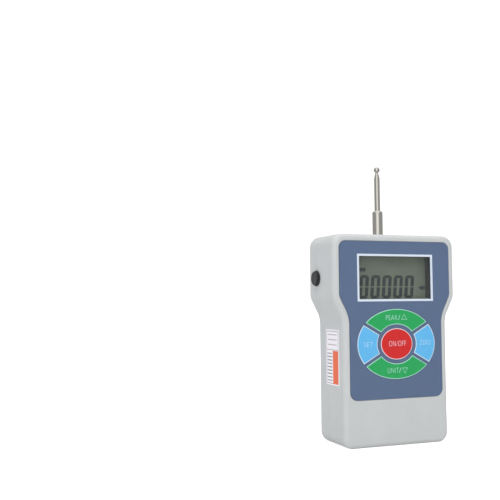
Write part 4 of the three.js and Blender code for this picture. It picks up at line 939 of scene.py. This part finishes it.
def makeTip():
    tipLow, tipHigh = cadBox("probe_tip")
    ball, neck, radius, edge = (feeler[key] for key in ("ball", "neck", "rod", "rodEdge"))
    ballZ, neckAngle = tipHigh.z - ball, math.asin(neck / ball)
    neckZ = ballZ - ball * math.cos(neckAngle)
    coneZ = neckZ - feeler["taper"]
    bendZ = coneZ + feeler["taper"] * feeler["bend"]
    profile = [(0, tipLow.z), (radius - edge, tipLow.z), (radius, tipLow.z + edge)]
    for t in [i / 16 for i in range(17)]:
        start, bend, end = (1 - t) ** 2, 2 * t * (1 - t), t * t
        profile.append(((start + bend) * radius + end * neck, start * coneZ + bend * bendZ + end * neckZ))
    for angle in [neckAngle + (math.pi - neckAngle) * i / 32 for i in range(1, 32)]:
        profile.append((ball * math.sin(angle), ballZ - ball * math.cos(angle)))
    profile.append((0, tipHigh.z))
    return smooth(turned("feeler_tip", profile, "z", (0, seamY, 0), feeler["sides"]), 25)


def makePlug():
    cap, flange, shank, bore = plug["capRadius"], plug["flangeRadius"], plug["shank"], plug["bore"]
    rimEdge, shankEdge, outer, inner = plug["flangeEdge"], plug["shankEdge"], *plug["dishRim"]
    top, end = plugLow.x, plugHigh.x
    dishX, capX = top + plug["dish"], top + plug["cap"]
    flangeX, grooveX, grooved = capX + plug["flange"], capX - plug["grooveWidth"], cap - plug["groove"]
    boreX = flangeX + plug["boreGap"]
    profile = [(0, dishX), (cap - outer, dishX), (cap - inner, top), *rounding(plug["round"], cap, top, 6),
               (cap, grooveX), (grooved, grooveX), (grooved, capX), *rounding(plug["lip"], flange, capX, 4),
               (flange, flangeX - rimEdge), (flange - rimEdge, flangeX), (shank, flangeX),
               (shank, end - shankEdge), (shank - shankEdge, end), (bore, end), (bore, boreX), (0, boreX)]
    centre = (0, socketY, (plugLow.z + plugHigh.z) / 2)
    return smooth(turned("rubber_plug", profile, "x", centre, plug["sides"]), 25)


dress(makeHolder(), surface["polished stainless steel"], "probe", "polished_steel", "probe_holder")
dress(makeTip(), surface["polished stainless steel"], "probe", "polished_steel", "probe_tip")
dress(makePlug(), surface["black silicone rubber"], "plug", "plug_rubber", "socket_plug")
print("feeler and plug are made")


# Screws: one tree draws a screw with its thread, cross recess and point, and sets it on each place
screwForm = {"dome": 0.22, "domePower": 4.0, "topFace": 0.4, "threadDepth": 0.28, "threadEnd": 0.49,
             "pointWidth": 0.45, "bladeWidth": 0.28, "bladeLift": 0.02, "overlap": 0.2}


def makeScrewTree():
    sizes = ("Shank Radius", "Head Radius", "Head Height", "Length", "Point", "Thread", "Recess")
    tree, group, inputs = newTree("cross-recess screw", {
        **dict.fromkeys(sizes, "Float"), "Seed": "Int", "Material": "Material"})
    shankRadius, headRadius, headHeight, length, point, thread, recess = (group[size] for size in sizes)
    position = addNode(tree, "GeometryNodeInputPosition")
    parts = addNode(tree, "ShaderNodeSeparateXYZ", {0: position}).node.outputs
    flat = addNode(tree, "ShaderNodeVectorMath", {"operation": "MULTIPLY", 0: position, 1: (1, 1, 0)})
    away = addNode(tree, "ShaderNodeVectorMath", {"operation": "LENGTH", 0: flat})
    overlap = screwForm["overlap"] * mm  # how far one part of the screw reaches into the next
    sums = {
        # the head's dome falls off towards its rim
        "share": ("DIVIDE", away, headRadius),
        "fall": ("POWER", "share", screwForm["domePower"]),
        "deepest": ("MULTIPLY", headHeight, -screwForm["dome"]),
        "dome": ("MULTIPLY", "fall", "deepest"),
        "upper": ("MULTIPLY", headHeight, screwForm["topFace"]),
        "onTop": ("GREATER_THAN", parts["Z"], "upper"),
        "drop": ("MULTIPLY", "dome", "onTop"),
        "headZ": ("MULTIPLY", headHeight, -0.5),
        # the thread winds round the shank
        "shank": ("SUBTRACT", length, point),
        "angle": ("ARCTAN2", parts["Y"], parts["X"]),
        "turn": ("DIVIDE", "angle", math.tau),
        "pitches": ("DIVIDE", parts["Z"], thread),
        "wound": ("ADD", "pitches", "turn"),
        "wave": ("PINGPONG", "wound", 0.5),
        "depth": ("MULTIPLY", "wave", -screwForm["threadDepth"]),
        "height": ("ABSOLUTE", parts["Z"]),
        "end": ("MULTIPLY", "shank", screwForm["threadEnd"]),
        "threaded": ("LESS_THAN", "height", "end"),
        "shrink": ("MULTIPLY", "depth", "threaded"),
        "half": ("MULTIPLY", "shank", 0.5),
        "middle": ("ADD", headHeight, "half"),
        "shankZ": ("SUBTRACT", overlap, "middle"),
        # the point and the cross recess
        "pointRadius": ("MULTIPLY", shankRadius, screwForm["pointWidth"]),
        "whole": ("ADD", headHeight, "shank"),
        "pointZ": ("SUBTRACT", 2 * overlap, "whole"),
        "narrow": ("MULTIPLY", recess, screwForm["bladeWidth"]),
    }
    made = {}
    for name, (operation, *values) in sums.items():
        values = {i: made[value] if isinstance(value, str) else value for i, value in enumerate(values)}
        made[name] = addNode(tree, "ShaderNodeMath", {"operation": operation, **values})

    def placed(geometry, height):
        # moves a part along the screw
        offset = addNode(tree, "ShaderNodeCombineXYZ", {"Z": height})
        return addNode(tree, "GeometryNodeTransform", {"Geometry": geometry, "Translation": offset})

    head = addNode(tree, "GeometryNodeMeshCylinder", {
        "Vertices": 48, "Side Segments": 2, "Fill Segments": 6, "Radius": headRadius, "Depth": headHeight})
    dropped = addNode(tree, "ShaderNodeCombineXYZ", {"Z": made["drop"]})
    head = addNode(tree, "GeometryNodeSetPosition", {"Geometry": head, "Offset": dropped})
    shank = addNode(tree, "GeometryNodeMeshCylinder", {
        "Vertices": 24, "Side Segments": 72, "Fill Segments": 1, "Radius": shankRadius,
        "Depth": made["shank"]})
    groove = addNode(tree, "ShaderNodeVectorMath", {"operation": "SCALE", 0: flat, "Scale": made["shrink"]})
    shank = addNode(tree, "GeometryNodeSetPosition", {"Geometry": shank, "Offset": groove})
    cone = addNode(tree, "GeometryNodeMeshCone", {
        "Vertices": 24, "Side Segments": 1, "Radius Top": made["pointRadius"], "Radius Bottom": shankRadius,
        "Depth": point})
    cone = addNode(tree, "GeometryNodeTransform", {"Geometry": cone, "Rotation": (math.pi, 0, 0)})
    whole = addNode(tree, "GeometryNodeMeshBoolean", {"operation": "UNION", "solver": "MANIFOLD"})
    for part, height in ((head, "headZ"), (shank, "shankZ"), (cone, "pointZ")):
        tree.links.new(placed(part, made[height]), whole.node.inputs["Mesh 2"])
    cut = addNode(tree, "GeometryNodeMeshBoolean", {
        "operation": "DIFFERENCE", "solver": "MANIFOLD", "Mesh 1": whole})
    lifted = screwForm["bladeLift"] * mm  # keeps the two blades' faces apart
    for width, depth, lift in ((recess, made["narrow"], lifted), (made["narrow"], recess, 0)):
        size = addNode(tree, "ShaderNodeCombineXYZ", {"X": width, "Y": depth, "Z": headHeight})
        blade = addNode(tree, "GeometryNodeMeshCube", {"Size": size})
        tree.links.new(placed(blade, lift), cut.node.inputs["Mesh 2"])
    flatShaded = addNode(tree, "GeometryNodeSetShadeSmooth", {"Geometry": cut, "Shade Smooth": False})
    spin = addNode(tree, "FunctionNodeRandomValue", {
        "data_type": "FLOAT", 2: 0.0, 3: math.tau, "Seed": group["Seed"]})
    rotation = addNode(tree, "ShaderNodeCombineXYZ", {"X": -quarter, "Y": spin})
    spread = addNode(tree, "GeometryNodeInstanceOnPoints", {
        "Points": group["Geometry"], "Instance": flatShaded, "Rotation": rotation})
    finishTree(tree, spread, group)
    return tree, inputs


screwTree, screwInputs = makeScrewTree()
screwSets = {
    "case": {"Shank Radius": 1.4, "Head Radius": 2.5, "Head Height": 1.7, "Length": 14, "Recess": 2.9,
             "Thread": 1.1, "Point": 1.2},
    "board": {"Shank Radius": 1.1, "Head Radius": 2, "Head Height": 1.3, "Length": 6, "Recess": 2.3,
              "Thread": 0.9, "Point": 1.2},
    "bracket": {"Shank Radius": 1.4, "Head Radius": 2.6, "Head Height": 1.8, "Length": 7.2, "Recess": 3.0,
                "Thread": 1.1, "Point": 1.2},
}
for seed, (kind, sizes) in enumerate(screwSets.items()):
    form = bmesh.new()
    for screw in screws[kind]:
        x, _, z = screw["middle"]
        form.verts.new(Vector((x, screw["high"], z)) * mm)
    values = {name: value * mm for name, value in sizes.items()}
    values.update({"Seed": seed, "Material": surface["bright zinc plate"]})
    dress(smooth(grow(addObject(kind + "_screws", form), screwTree, screwInputs, values)),
          surface["bright zinc plate"], "housing", "zinc_steel", *(screw["node"] for screw in screws[kind]))
print("screws are made")


# Plain label on the grip's left side: white film with a thin frame, a colour band and empty rules
label = {"y": (-9.1, 5.6), "z": (31.1, 59.9), "corner": 0.6, "thickness": 0.06, "edge": 0.02, "line": 0.3,
         "frame": ((-8.3, 4.9), (31.8, 59.1)), "middle": 49.2, "band": {"Y": (-8.3, -2.2), "Z": (31.8, 48.9)},
         "lowRules": {"Y": (-1.4, 4.1), "Z": (33.2, 47.6)},
         "highRules": {"Y": (-6.8, 3.4), "Z": (51.6, 57.4)}}


def makeLabel():
    (lowY, highY), (lowZ, highZ), edge = label["y"], label["z"], label["edge"]
    outside = -gripHalf - label["thickness"]
    rings = []
    for inset, x in ((0, -gripHalf), (0, outside + edge), (edge, outside)):
        outline = roundedRectangle((highY - lowY) / 2 - inset, (highZ - lowZ) / 2 - inset, label["corner"])
        rings.append([(x, y + (lowY + highY) / 2, z + (lowZ + highZ) / 2) for y, z in outline])
    return smooth(ringMesh("side_label", rings))


def printLabel():
    line, (wide, tall) = label["line"], label["frame"]
    lines = [{"Y": wide, "Z": (z, z + line)} for z in (tall[0], label["middle"], tall[1] - line)]
    lines += [{"Y": (y, y + line), "Z": tall} for y in (wide[0], wide[1] - line)]
    printOver(surface["label vinyl"], [
        ("#9b8f9c", lines, None),
        ("#8b8a92", [label["lowRules"]], {"start": 33.4, "pitch": 1.75, "width": 0.55}),
        ("#b49fa6", [label["highRules"]], {"start": 52.0, "pitch": 2.6, "width": 0.4}),
        ("#f2714a", [label["band"]], None)])


printLabel()
dress(makeLabel(), surface["label vinyl"], "housing", "panel_film")
print("label is made")

# Board: green mask over copper tracks that run upright in some areas and level in others, with plated holes
board = {"area": 9, "pitches": {"X": 1.3, "Z": 1.05}, "halfTrack": 0.13, "bare": 0.3, "track": "#3b8a5d",
         "padSpacing": 3.1, "padShare": 0.13, "plating": "#c9bb8a"}


def printBoard():
    tree, shader, tint, place, parts = finishParts(surface["green solder mask"])
    areas = addNode(tree, "ShaderNodeTexVoronoi", {
        "distance": "CHEBYCHEV", "Vector": place, "Scale": 1 / (board["area"] * mm)}).node.outputs["Color"]
    draws = addNode(tree, "ShaderNodeSeparateColor", {0: areas}).node.outputs
    tracks = []
    for axis, pitch in board["pitches"].items():
        away = addNode(tree, "ShaderNodeMath", {"operation": "PINGPONG", 0: parts[axis], 1: pitch / 2 * mm})
        tracks.append(addNode(tree, "ShaderNodeMath", {
            "operation": "LESS_THAN", 0: away, 1: board["halfTrack"] * mm}))
    level, routed = (addNode(tree, "ShaderNodeMath", {"operation": "GREATER_THAN", 0: draws[i], 1: share})
                     for i, share in enumerate((0.5, board["bare"])))
    track = addNode(tree, "ShaderNodeMix", {"data_type": "FLOAT", 0: level, 2: tracks[0], 3: tracks[1]})
    track = addNode(tree, "ShaderNodeMath", {"operation": "MULTIPLY", 0: track, 1: routed})
    pads = addNode(tree, "ShaderNodeTexVoronoi", {
        "Vector": place, "Scale": 1 / (board["padSpacing"] * mm), "Randomness": 0.8})
    pad = addNode(tree, "ShaderNodeMath", {"operation": "LESS_THAN", 0: pads, 1: board["padShare"]})
    for area, colour in ((track, board["track"]), (pad, board["plating"])):
        tint = addNode(tree, "ShaderNodeMix", {"data_type": "RGBA", 0: area, 6: tint, 7: linear(colour)})
    tree.links.new(tint, shader.inputs["Base Color"])


printBoard()
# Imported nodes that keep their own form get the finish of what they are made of
nodeFinish = {
    "black polycarbonate": ["lcd_frame"],
    "black polyamide": ["charging_socket"] + [name + "_plunger" for name in keys],
    "liquid crystal glass": ["lcd_front_glass", "lcd_rear_glass"],
    "layered contact rubber": ["contact_strip_top", "contact_strip_bottom"],
    "moulded epoxy": ["microcontroller", "amplifier_chip"] + [name + "_switch" for name in keys],
    "natural nylon": ["battery_connector", "sensor_connector"],
    "milled aluminium": ["load_cell"],
    "white silicone coating": ["strain_gauge_left", "strain_gauge_right"],
    "bright zinc plate": ["load_cell_bracket", "load_cell_bolt", "probe_lock_nut"],
    "plain brass": ["socket_pin"],
    "green shrink wrap": ["battery_pack"],
    "closed-cell foam": ["foam_pad"],
    "red insulation": ["battery_lead_red"],
    "black insulation": ["battery_lead_black", "charging_lead"],
    "grey insulation": ["sensor_cable"],
    "green solder mask": ["main_board"],
}
for name, group in nodeFinish.items():
    for node in group:
        for place in nodes[node].material_slots:
            place.material = surface[name]
print("packed nodes are finished")
